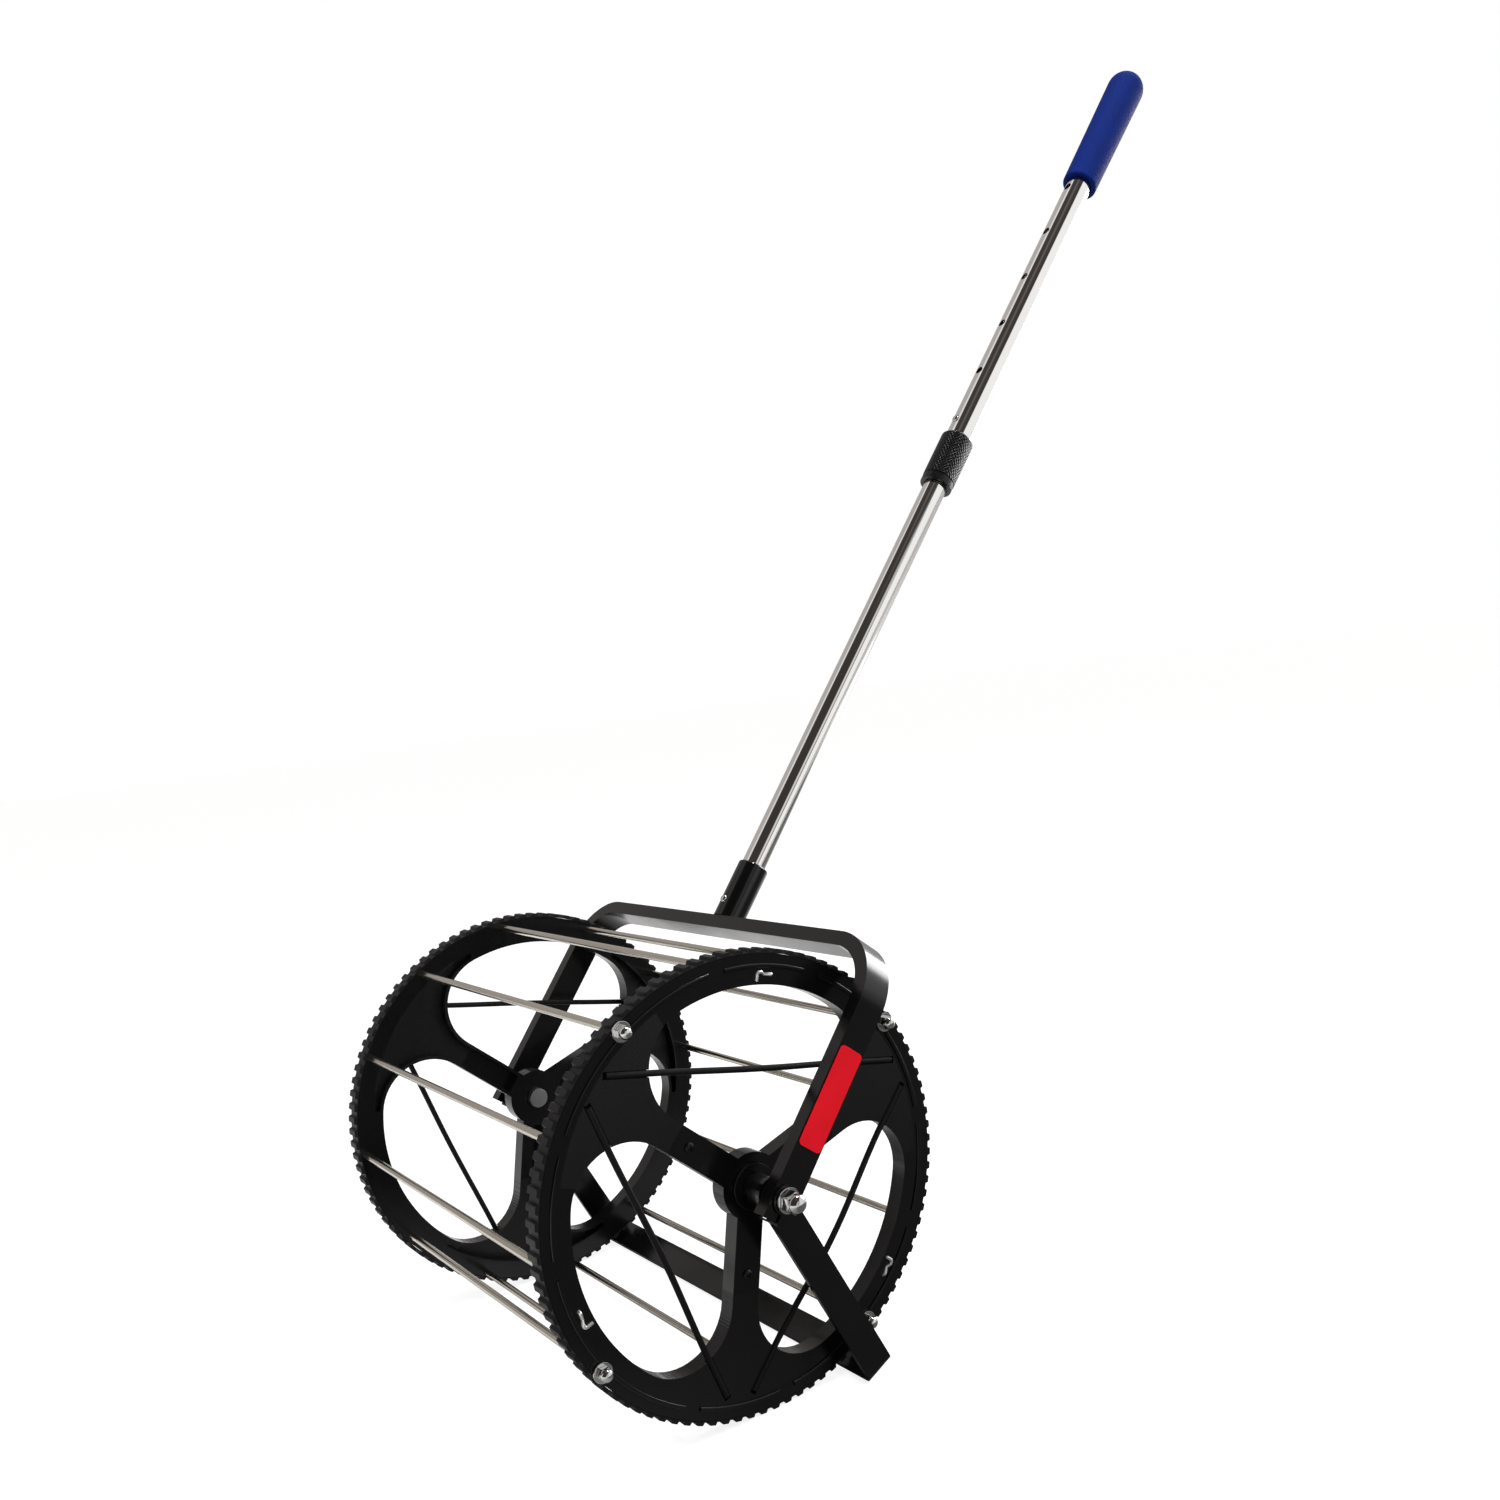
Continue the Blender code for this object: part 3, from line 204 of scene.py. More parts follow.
class RollerHandleSizes(PropertyGroup):
    """Sizes of the telescopic handle. Places are measured from the axle along the handle."""

    socket_radius: length("Socket radius", "Outer radius of the socket", 0.0115)
    socket_bore: length("Socket bore", "Inner radius of the socket", 0.00985)
    socket_low: length("Socket foot", "Lower end of the socket", 0.1694)
    socket_top: length("Socket top", "Upper end of the socket", 0.215)
    socket_floor: length("Socket floor", "Thickness of the socket's floor", 0.0015)
    socket_edge: length("Socket chamfer", "Chamfer of the socket's mouth", 0.001)
    lower_radius: length("Lower tube", "Outer radius of the lower tube", 0.0095)
    lower_low: length("Lower tube foot", "Lower end of the lower tube", 0.1712)
    lower_top: length("Lower tube top", "Upper end of the lower tube", 0.640)
    upper_radius: length("Upper tube", "Outer radius of the upper tube", 0.01075)
    upper_low: length("Upper tube foot", "Lower end of the upper tube", 0.5664)
    upper_top: length("Upper tube top", "Upper end of the upper tube", 1.002)
    tube_wall: length("Tube wall", "Wall of the two tubes", 0.0009)
    collar_radius: length("Collar radius", "Outer radius of the collar", 0.0135)
    collar_low: length("Collar foot", "Lower end of the collar", 0.5637)
    collar_high: length("Collar top", "Upper end of the collar", 0.6114)
    collar_band: length("Collar band", "Height of the collar's plain band", 0.0062)
    collar_edge: length("Collar chamfer", "Chamfer at the collar's top", 0.0022)
    collar_lip: length("Collar lip", "Inner radius of the collar's lip", 0.00986)
    grip_low: length("Grip foot", "Lower end of the grip", 0.8838)
    grip_top: length("Grip top", "Top of the grip's dome", 1.011)
    grip_low_radius: length("Grip lower radius", "Radius of the grip near its mouth", 0.0148)
    grip_high_radius: length("Grip upper radius", "Radius of the grip below its dome", 0.016)
    grip_mouth: length("Grip mouth", "Radius of the grip's mouth", 0.0128)
    grip_dome: length("Grip dome", "Height of the grip's dome", 0.015)
    button_radius: length("Button radius", "Radius of a snap button", 0.003)
    button_proud: length("Button height", "How far a button stands proud", 0.002)
    button_flange: length("Button flange", "Radius of a button's flange", 0.0039)
    button_base: length("Button base", "Thickness of a button's flange", 0.0008)
    lower_button: length("Lower button", "Place of the socket's button", 0.1818)
    upper_button: length("Upper button", "Place of the length lock's button", 0.624)
    hole_pitch: length("Hole pitch", "Distance between the lock holes", 0.050)
    hole_count: IntProperty(name="Holes", description="Number of lock holes", default=6, min=1)


class RollerFinishes(PropertyGroup):
    """Colours of the finishes."""

    plastic: colour("Wheel plastic", "Moulded black plastic of the wheels", (0.0022, 0.0022, 0.0025))
    rubber: colour("Tread rubber", "Dull rubber of the treads", (0.0050, 0.0050, 0.0054))
    paint: colour("Black paint", "Gloss paint of the yoke, stand and socket", (0.0020, 0.0020, 0.0021))
    cord: colour("Cord", "Black elastic", (0.003, 0.003, 0.0032))
    # Rod steel: the steel's own grey, tinted warm as a painted reflection of yellow balls
    rod: colour("Rod steel", "Bright drawn steel", (0.56, 0.53, 0.47))
    chrome: colour("Chrome", "Bright plating of the nuts", (0.62, 0.62, 0.61))
    hook: colour("Hook wire", "Soft bright plating of the hooks", (0.92, 0.92, 0.90))
    zinc: colour("Zinc steel", "Dull plating of the bolts and springs", (0.36, 0.36, 0.37))
    tube: colour("Tube", "Polished handle tubes", (0.84, 0.83, 0.81))
    foam: colour("Foam", "Blue foam of the grip", (0.0015, 0.011, 0.105))
    label: colour("Label", "Red sticker", (0.72, 0.007, 0.017))


class RollerStageSizes(PropertyGroup):
    """Camera, floor and lights."""

    lens: FloatProperty(name="Lens", description="Focal length of the camera in millimetres", default=32.808)
    shift_x: FloatProperty(name="Shift across", description="Camera shift across the frame", default=-0.0079)
    shift_y: FloatProperty(name="Shift up", description="Camera shift up the frame", default=0.0801)
    camera_offset: FloatVectorProperty(
        name="Camera place", description="Camera from the axle", subtype="XYZ",
        default=(0.83196, -0.42593, 0.30526),
    )
    floor_size: length("Floor size", "Side of the floor", 40.0)
    floor_drop: length("Floor drop", "Gap between the floor and the wheels", 0.0003)
    sky_light: brightness("Sky light", "Strength of the wide light overhead", 0.9)
    key_light: brightness("Key light", "Power of the long lamp above", 26.0)
    back_light: brightness("Back light", "Power of the soft lamp behind", 26.0)
    top_light: brightness("Top light", "Power of the lamp that lights edges", 30.0)


# Places


def handle_place(offset=(0.0, 0.0, 0.0)):
    """Matrix from the handle's own frame, whose Z axis runs up the handle, to the world."""
    angle = bpy.context.scene.roller_frame.handle_angle
    return Matrix.Translation(AXLE) @ Matrix.Rotation(angle - pi / 2, 4, "X") @ Matrix.Translation(offset)


def stand_place():
    """Matrix from the stand's own frame, whose Z axis runs down its legs, to the world."""
    angle = bpy.context.scene.roller_frame.stand_angle
    return Matrix.Translation(AXLE) @ Matrix.Rotation(-angle - pi / 2, 4, "X")


def drum_place(radius=0.0, direction=0.0, height=0.0, side=1):
    """Matrix from a piece's own frame, whose Z axis points out of one wheel, to the world."""
    turned_by = bpy.context.scene.roller_drum.drum_turn
    place = Matrix.Translation(AXLE) @ ACROSS_AXLE @ Matrix.Rotation(turned_by, 4, "Z")
    place = place @ Matrix.Diagonal((1.0, 1.0, side, 1.0))
    return place @ Matrix.Rotation(direction, 4, "Z") @ Matrix.Translation((radius, 0.0, height))


def axle_side_place(side):
    """Matrix from a frame whose Z axis runs out along the axle to the world."""
    return handle_place() @ Matrix.Rotation(side * pi / 2, 4, "Y")


def spoke_directions():
    """Direction of each spoke in the drum."""
    first = bpy.context.scene.roller_drum.spoke_turn
    return [first + 2 * pi * number / SPOKES for number in range(SPOKES)]


def window_directions():
    """Direction of the middle of each window in the drum."""
    return [direction + pi / 3 for direction in spoke_directions()]


# Outlines


def arc(centre, radius, start, end, steps):
    """Points of an arc, both ends included."""
    turns = [start + (end - start) * step / steps for step in range(steps + 1)]
    return [(centre[0] + radius * cos(angle), centre[1] + radius * sin(angle)) for angle in turns]


def circle(radius, steps, centre=(0.0, 0.0)):
    """Closed outline of a circle."""
    return arc(centre, radius, 0.0, 2 * pi * (steps - 1) / steps, steps - 1)


def turned_points(points, angle):
    """Flat points turned about the origin."""
    return [(x * cos(angle) - y * sin(angle), x * sin(angle) + y * cos(angle)) for x, y in points]


def both_halves(points):
    """Outline that is symmetric about its X axis, from its upper half."""
    return points + [(x, -y) for x, y in reversed(points) if abs(y) > MERGE]


def corner_facts(drum):
    """Centre distance and lean of a window's outer corner, measured from the spoke beside it."""
    centre_radius = drum.window_radius - drum.window_fillet
    return centre_radius, asin((drum.spoke_half_width + drum.window_fillet) / centre_radius)


def window_outline(drum, steps=18):
    """Window between two spokes, about its own X axis."""
    centre_radius, lean = corner_facts(drum)
    angle = pi / 3 - lean
    hub_angle = pi / 3 - asin(drum.spoke_half_width / drum.hub_radius)
    centre = (centre_radius * cos(angle), centre_radius * sin(angle))
    hub = arc((0.0, 0.0), drum.hub_radius, 0.0, hub_angle, steps // 3)
    corner = arc(centre, drum.window_fillet, pi / 3 + pi / 2, angle, steps)
    outer = arc((0.0, 0.0), drum.window_radius, angle, 0.0, steps)
    return both_halves(hub + corner + outer[1:])


def pocket_outline(drum, steps=14):
    """Hollow behind a spoke, about its own X axis."""
    centre_radius, lean = corner_facts(drum)
    half_width = drum.spoke_half_width - drum.wall
    start = (sqrt((drum.hub_radius + drum.wall) ** 2 - half_width ** 2), half_width)
    centre = (centre_radius * cos(lean), centre_radius * sin(lean))
    corner = arc(centre, drum.window_fillet + drum.wall, -pi / 2, lean, steps)
    outer = arc((0.0, 0.0), drum.wheel_radius - drum.rim_width, lean, 0.0, steps)
    return both_halves([start] + corner + outer)


def cord_edge(drum):
    """Distance along a cord from its middle to the window's edge."""
    centre_radius, lean = corner_facts(drum)
    angle = pi / 3 - lean
    across = drum.cord_offset - centre_radius * cos(angle)
    return centre_radius * sin(angle) + sqrt(drum.window_fillet ** 2 - across ** 2)


def u_outline(half_span, low, high, radius, depth, steps=16):
    """U-shaped band, open at its low end."""
    centre = (half_span - radius, high - radius)
    outer = [(half_span, low)] + arc(centre, radius, 0.0, pi / 2, steps)
    inner = [(half_span - depth, low)] + arc(centre, radius - depth, 0.0, pi / 2, steps)
    band = outer + [(-x, y) for x, y in reversed(outer)]
    return band + [(-x, y) for x, y in inner] + list(reversed(inner))


def dome(radius, low, height, steps=8):
    """Profile down a dome, from its top to its rim."""
    return [(radius * x, low + height * y) for x, y in arc((0.0, 0.0), 1.0, pi / 2, 0.0, steps)]


# Shapes


def spun(profile, steps=48, closed=False, edge=0.0):
    """Shape turned about its Z axis from (radius, height) points, with its sharp rings rounded."""
    work = bmesh.new()
    points = [work.verts.new((radius, 0.0, height)) for radius, height in profile]
    lines = [work.edges.new(pair) for pair in zip(points, points[1:])]
    if closed:
        lines.append(work.edges.new((points[-1], points[0])))
    bmesh.ops.spin(
        work, geom=points + lines, cent=(0, 0, 0), axis=(0, 0, 1), angle=2 * pi, steps=steps, use_merge=True
    )
    bmesh.ops.remove_doubles(work, verts=work.verts, dist=MERGE)
    bmesh.ops.recalc_face_normals(work, faces=work.faces)
    round_edges(work, edge)
    return work


def round_edges(work, width, limit=radians(40)):
    """Bevel the sharp edges of a shape."""
    if not width:
        return
    sharp = [edge for edge in work.edges if edge.is_manifold and edge.calc_face_angle() > limit]
    bmesh.ops.bevel(
        work, geom=sharp, offset=width, offset_type="OFFSET", segments=2, profile=0.5,
        affect="EDGES", clamp_overlap=True, material=-1,
    )


def prism(sides, radius, low, high, edge=0.0):
    """Upright prism, such as a nut's flats."""
    work = bmesh.new()
    bmesh.ops.create_cone(
        work, cap_ends=True, segments=sides, radius1=radius, radius2=radius, depth=high - low
    )
    bmesh.ops.translate(work, vec=Vector((0.0, 0.0, (low + high) / 2)), verts=work.verts)
    round_edges(work, edge)
    return work


def block(size, centre):
    """Box shape about a centre."""
    work = bmesh.new()
    bmesh.ops.create_cube(work, size=1.0)
    bmesh.ops.scale(work, vec=Vector(size), verts=work.verts)
    bmesh.ops.translate(work, vec=Vector(centre), verts=work.verts)
    return work


def gathered(shapes):
    """One shape from several, each given with its matrix."""
    work = bmesh.new()
    for shape, place in shapes:
        bmesh.ops.transform(shape, matrix=place, verts=shape.verts)
        if place.determinant() < 0:
            bmesh.ops.reverse_faces(shape, faces=shape.faces)
        held = bpy.data.meshes.new("held")
        shape.to_mesh(held)
        shape.free()
        work.from_mesh(held)
        bpy.data.meshes.remove(held)
    return work


def linked(name, data):
    """Object in the scene with its data."""
    made = bpy.data.objects.new(name, data)
    bpy.context.scene.collection.objects.link(made)
    return made


def object_from(name, work):
    """Object with a shape as its mesh."""
    mesh = bpy.data.meshes.new(name)
    work.to_mesh(mesh)
    work.free()
    return linked(name, mesh)


def made_plain(source):
    """Mesh object with the modifiers or the curve of its source worked out."""
    graph = bpy.context.evaluated_depsgraph_get()
    mesh = bpy.data.meshes.new_from_object(source.evaluated_get(graph))
    work = bmesh.new()
    work.from_mesh(mesh)
    bpy.data.meshes.remove(mesh)
    bmesh.ops.remove_doubles(work, verts=work.verts, dist=MERGE)
    bmesh.ops.recalc_face_normals(work, faces=work.faces)
    name = source.name
    bpy.data.objects.remove(source)
    return object_from(name, work)


def poly_curve(name, dimensions, lines, closed):
    """Curve data of straight lines through points."""
    curve = bpy.data.curves.new(name, "CURVE")
    curve.dimensions = dimensions
    for points in lines:
        spline = curve.splines.new("POLY")
        spline.points.add(len(points) - 1)
        for point, place in zip(spline.points, points):
            point.co = (*Vector(place).to_3d(), 1.0)
        spline.use_cyclic_u = closed
    return curve


def slab(name, outlines, thickness, edge=0.0, segments=2):
    """Flat piece about its XY plane, with rounded edges: the first outline is its rim, the rest are holes."""
    curve = poly_curve(name, "2D", outlines, True)
    curve.fill_mode = "BOTH"
    curve.extrude = thickness / 2
    made = made_plain(linked(name, curve))
    if edge:
        rounding = made.modifiers.new("Rounded edges", "BEVEL")
        rounding.width = edge
        rounding.segments = segments
        rounding.limit_method = "ANGLE"
        rounding.angle_limit = radians(50)
        made = made_plain(made)
    return made


def tube_along(name, points, radius, resolution=5):
    """Round bar with closed ends that follows points."""
    curve = poly_curve(name, "3D", [points], False)
    curve.bevel_depth = radius
    curve.bevel_resolution = resolution
    curve.use_fill_caps = True
    return made_plain(linked(name, curve))


def cut(target, tool, operation="DIFFERENCE"):
    """Object cut by a tool, which is used up."""
    step = target.modifiers.new("Cut", "BOOLEAN")
    step.operation = operation
    step.solver = "EXACT"
    step.object = tool
    result = made_plain(target)
    bpy.data.objects.remove(tool)
    return result


def put(piece, place):
    """Move a piece's mesh to its place."""
    piece.data.transform(place)
    if place.determinant() < 0:
        piece.data.flip_normals()
    return piece


def finished(piece, surface, body, slot_name, nodes=(), limit=SMOOTH_LIMIT):
    """Shade a piece, give it its material and body, and let it stand for its CAD nodes."""
    piece.data.materials.clear()
    piece.data.materials.append(surface)
    piece.data.shade_smooth()
    piece.data.set_sharp_from_angle(angle=limit)
    weighted = piece.modifiers.new("Even shading", "WEIGHTED_NORMAL")
    weighted.keep_sharp = True
    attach(piece, body)
    if nodes:
        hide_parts(*nodes)
    return piece


def solid(name, shape, place, *finish):
    """Finished object from a shape at its place."""
    return finished(object_from(name, gathered([(shape, place)])), *finish)


def carried(node, surface):
    """Give a CAD node its finish."""
    kept = frame["nodes"][node]
    kept.data.materials.clear()
    kept.data.materials.append(surface)


# Node tools


class Nodes:
    """Short hand for one node tree."""

    def __init__(self, tree):
        self.tree = tree

    def add(self, kind, **settings):
        """Node of a kind with its settings."""
        node = self.tree.nodes.new(kind)
        for key, value in settings.items():
            setattr(node, key, value)
        return node

    def link(self, source, target):
        """Join two sockets."""
        self.tree.links.new(source, target)

    def mix(self, factor, first, second):
        """Mix of two colours, each a socket or a plain colour."""
        node = self.add("ShaderNodeMix", data_type="RGBA")
        self.link(factor, node.inputs["Factor"])
        for socket, value in ((node.inputs[6], first), (node.inputs[7], second)):
            if isinstance(value, tuple):
                socket.default_value = value
            else:
                self.link(value, socket)
        return node.outputs[2]

    def math(self, operation, first, second=None, third=None, clamp=False):
        """Math node whose inputs are numbers or sockets."""
        node = self.add("ShaderNodeMath", operation=operation, use_clamp=clamp)
        for socket, value in zip(node.inputs, (first, second, third)):
            if isinstance(value, (int, float)):
                socket.default_value = value
            elif value is not None:
                self.link(value, socket)
        return node.outputs[0]


def new_group(name, inputs, outputs):
    """Empty shader group with named sockets, its helper and its two end nodes."""
    group = bpy.data.node_groups.new(name, "ShaderNodeTree")
    for socket_name, kind, value in inputs:
        socket = group.interface.new_socket(name=socket_name, in_out="INPUT", socket_type=kind)
        if value is not None:
            socket.default_value = value
    for socket_name, kind in outputs:
        group.interface.new_socket(name=socket_name, in_out="OUTPUT", socket_type=kind)
    nodes = Nodes(group)
    return nodes, nodes.add("NodeGroupInput"), nodes.add("NodeGroupOutput")


def grain_group():
    """Group: slow and fine noise that varies a colour, a roughness and a height."""
    found = bpy.data.node_groups.get("Grain")
    if found:
        return found
    nodes, start, end = new_group(
        "Grain",
        [
            ("Color", "NodeSocketColor", None), ("Color Spread", "NodeSocketFloat", 0.1),
            ("Roughness", "NodeSocketFloat", 0.5), ("Roughness Spread", "NodeSocketFloat", 0.05),
            ("Scale", "NodeSocketFloat", 40.0), ("Fine Scale", "NodeSocketFloat", 900.0),
        ],
        [("Color", "NodeSocketColor"), ("Roughness", "NodeSocketFloat"), ("Height", "NodeSocketFloat")],
    )
    place = nodes.add("ShaderNodeTexCoord")
    slow = nodes.add("ShaderNodeTexNoise")
    slow.inputs["Detail"].default_value = 4.0
    fine = nodes.add("ShaderNodeTexNoise")
    fine.inputs["Detail"].default_value = 2.0
    for noise, scale in ((slow, "Scale"), (fine, "Fine Scale")):
        nodes.link(place.outputs["Object"], noise.inputs["Vector"])
        nodes.link(start.outputs[scale], noise.inputs["Scale"])
    centred = nodes.math("MULTIPLY_ADD", slow.outputs["Fac"], 2.0, -1.0)
    value = nodes.math("MULTIPLY_ADD", centred, start.outputs["Color Spread"], 1.0)
    tint = nodes.add("ShaderNodeHueSaturation")
    nodes.link(start.outputs["Color"], tint.inputs["Color"])
    nodes.link(value, tint.inputs["Value"])
    rough = nodes.math("MULTIPLY_ADD", centred, start.outputs["Roughness Spread"], start.outputs["Roughness"])
    nodes.link(tint.outputs["Color"], end.inputs["Color"])
    nodes.link(rough, end.inputs["Roughness"])
    nodes.link(fine.outputs["Fac"], end.inputs["Height"])
    return nodes.tree


def hatch_group():
    """Group: crossed fine grooves on the webs of a wheel, from a vector centred on the axle."""
    found = bpy.data.node_groups.get("Web hatch")
    if found:
        return found
    nodes, start, end = new_group(
        "Web hatch",
        [
            ("Vector", "NodeSocketVector", None), ("Pitch", "NodeSocketFloat", 0.0016),
            ("Inner Radius", "NodeSocketFloat", 0.07), ("Outer Radius", "NodeSocketFloat", 0.13),
            ("Spoke Direction", "NodeSocketFloat", 0.3),
        ],
        [("Height", "NodeSocketFloat"), ("Mask", "NodeSocketFloat")],
    )
    parts = nodes.add("ShaderNodeSeparateXYZ")
    nodes.link(start.outputs["Vector"], parts.inputs[0])
    across, up = parts.outputs["Y"], parts.outputs["Z"]
    wave = nodes.math("DIVIDE", 2 * pi, start.outputs["Pitch"])
    first = nodes.math("SINE", nodes.math("MULTIPLY", nodes.math("ADD", across, up), wave))
    second = nodes.math("SINE", nodes.math("MULTIPLY", nodes.math("SUBTRACT", across, up), wave))
    grooves = nodes.math("MULTIPLY", first, second)
    squares = nodes.math("ADD", nodes.math("MULTIPLY", across, across), nodes.math("MULTIPLY", up, up))
    radius = nodes.math("SQRT", squares)
    above = nodes.math("GREATER_THAN", radius, start.outputs["Inner Radius"])
    below = nodes.math("LESS_THAN", radius, start.outputs["Outer Radius"])
    angle = nodes.math("SUBTRACT", nodes.math("ARCTAN2", up, across), start.outputs["Spoke Direction"])
    near_spoke = nodes.math("GREATER_THAN", nodes.math("COSINE", nodes.math("MULTIPLY", angle, 3.0)), 0.25)
    mask = nodes.math("MULTIPLY", nodes.math("MULTIPLY", above, below), near_spoke)
    nodes.link(nodes.math("MULTIPLY", grooves, mask), end.inputs["Height"])
    nodes.link(mask, end.inputs["Mask"])
    return nodes.tree


def knurl_group():
    """Group: diamond knurl round the handle, from a vector in the handle's own frame."""
    found = bpy.data.node_groups.get("Knurl")
    if found:
        return found
    nodes, start, end = new_group(
        "Knurl",
        [
            ("Vector", "NodeSocketVector", None), ("Count", "NodeSocketFloat", 26.0),
            ("Pitch", "NodeSocketFloat", 0.0036),
        ],
        [("Height", "NodeSocketFloat")],
    )
    parts = nodes.add("ShaderNodeSeparateXYZ")
    nodes.link(start.outputs["Vector"], parts.inputs[0])
    angle = nodes.math("ARCTAN2", parts.outputs["Y"], parts.outputs["X"])
    round_wave = nodes.math("MULTIPLY", angle, nodes.math("MULTIPLY", start.outputs["Count"], 0.5))
    long_wave = nodes.math("MULTIPLY", parts.outputs["Z"], nodes.math("DIVIDE", pi, start.outputs["Pitch"]))
    first = nodes.math("ABSOLUTE", nodes.math("SINE", nodes.math("ADD", round_wave, long_wave)))
    second = nodes.math("ABSOLUTE", nodes.math("SINE", nodes.math("SUBTRACT", round_wave, long_wave)))
    nodes.link(nodes.math("MINIMUM", first, second), end.inputs["Height"])
    return nodes.tree


def streak_group():
    """Group: fine drawing marks along one axis of a vector, for roughness and height."""
    found = bpy.data.node_groups.get("Drawn streaks")
    if found:
        return found
    nodes, start, end = new_group(
        "Drawn streaks",
        [
            ("Vector", "NodeSocketVector", None), ("Roughness", "NodeSocketFloat", 0.15),
            ("Spread", "NodeSocketFloat", 0.05),
        ],
        [("Roughness", "NodeSocketFloat"), ("Height", "NodeSocketFloat")],
    )
    noise = nodes.add("ShaderNodeTexNoise")
    noise.inputs["Scale"].default_value = 1.0
    noise.inputs["Detail"].default_value = 3.0
    nodes.link(start.outputs["Vector"], noise.inputs["Vector"])
    centred = nodes.math("MULTIPLY_ADD", noise.outputs["Fac"], 2.0, -1.0)
    rough = nodes.math("MULTIPLY_ADD", centred, start.outputs["Spread"], start.outputs["Roughness"])
    nodes.link(rough, end.inputs["Roughness"])
    nodes.link(noise.outputs["Fac"], end.inputs["Height"])
    return nodes.tree


def placed_group(nodes, group, **values):
    """Group node with its own values. An underscore in a name stands for a space."""
    node = nodes.add("ShaderNodeGroup", node_tree=group)
    for key, value in values.items():
        node.inputs[key.replace("_", " ")].default_value = value
    return node


def new_material(name, metallic=0.0, specular=0.5):
    """Material with its helper and its Principled shader."""
    made = bpy.data.materials.new(name)
    made.use_nodes = True
    shader = made.node_tree.nodes["Principled BSDF"]
    shader.inputs["Metallic"].default_value = metallic
    shader.inputs["Specular IOR Level"].default_value = specular
    return made, Nodes(made.node_tree), shader


def bumped(nodes, shader, height, strength, distance):
    """Bump from a height socket to a shader's normal."""
    bump = nodes.add("ShaderNodeBump")
    bump.inputs["Strength"].default_value = strength
    bump.inputs["Distance"].default_value = distance
    nodes.link(height, bump.inputs["Height"])
    nodes.link(bump.outputs["Normal"], shader.inputs["Normal"])


def under_grain(nodes, shader, tint, tint_spread, roughness, spread, scale, fine):
    """Grain that gives a shader its colour and roughness."""
    grain = placed_group(
        nodes, grain_group(), Color=(*tint, 1.0), Color_Spread=tint_spread, Roughness=roughness,
        Roughness_Spread=spread, Scale=scale, Fine_Scale=fine,
    )
    nodes.link(grain.outputs["Color"], shader.inputs["Base Color"])
    nodes.link(grain.outputs["Roughness"], shader.inputs["Roughness"])
    return grain


def moved_vector(nodes, location, rotation=(0.0, 0.0, 0.0), scale=(1.0, 1.0, 1.0)):
    """Object coordinates as seen from a frame of its own."""
    place = nodes.add("ShaderNodeTexCoord")
    mapping = nodes.add("ShaderNodeMapping", vector_type="TEXTURE")
    mapping.inputs["Location"].default_value = location
    mapping.inputs["Rotation"].default_value = rotation
    mapping.inputs["Scale"].default_value = scale
    nodes.link(place.outputs["Object"], mapping.inputs["Vector"])
    return mapping.outputs["Vector"]


# Finishes


# Colour setting, roughness and its spread, strength, depth and scale of the relief, specular level, metallic
GRAINED = {
    "Tread rubber": ("rubber", 0.50, 0.10, 0.5, 0.00025, 500.0, 0.22, 0.0),
    "Black gloss paint": ("paint", 0.20, 0.05, 0.2, 0.0001, 260.0, 0.42, 0.0),
    "Satin black plastic": ("plastic", 0.34, 0.08, 0.4, 0.0001, 900.0, 0.3, 0.0),
    "Elastic cord": ("cord", 0.55, 0.10, 0.8, 0.0002, 1400.0, 0.2, 0.0),
    "Bright plating": ("chrome", 0.10, 0.04, 0.15, 0.00005, 400.0, 0.5, 1.0),
    "Soft bright plating": ("hook", 0.38, 0.06, 0.3, 0.00006, 600.0, 0.5, 1.0),
    "Zinc plating": ("zinc", 0.36, 0.08, 0.4, 0.0001, 900.0, 0.5, 1.0),
    "Red vinyl": ("label", 0.32, 0.04, 0.15, 0.00008, 300.0, 0.2, 0.0),
}


def grained(name):
    """Grained material: slow changes of tone and gloss, and a fine relief."""
    found = bpy.data.materials.get(name)
    if found:
        return found
    key, roughness, spread, relief, depth, fine, specular, metallic = GRAINED[name]
    tint = getattr(bpy.context.scene.roller_finishes, key)
    made, nodes, shader = new_material(name, metallic, specular)
    grain = under_grain(nodes, shader, tint, 0.18, roughness, spread, 35.0, fine)
    bumped(nodes, shader, grain.outputs["Height"], relief, depth)
    return made


def wheel_plastic():
    """Moulded black plastic with fine crossed grooves on the webs."""
    found = bpy.data.materials.get("Moulded wheel plastic")
    if found:
        return found
    made, nodes, shader = new_material("Moulded wheel plastic", specular=0.36)
    tint = bpy.context.scene.roller_finishes.plastic
    drum = bpy.context.scene.roller_drum
    grain = under_grain(nodes, shader, tint, 0.15, 0.19, 0.05, 30.0, 700.0)
    hatch = placed_group(
        nodes, hatch_group(), Pitch=0.0017, Inner_Radius=0.066, Outer_Radius=drum.ridge_low - drum.wall,
        Spoke_Direction=drum.spoke_turn + drum.drum_turn,
    )
    nodes.link(moved_vector(nodes, AXLE), hatch.inputs["Vector"])
    rough = nodes.math("MULTIPLY_ADD", hatch.outputs["Mask"], 0.03, grain.outputs["Roughness"])
    height = nodes.math("MULTIPLY_ADD", grain.outputs["Height"], 0.25, hatch.outputs["Height"])
    nodes.link(rough, shader.inputs["Roughness"])
    bumped(nodes, shader, height, 0.3, 0.0002)
    return made


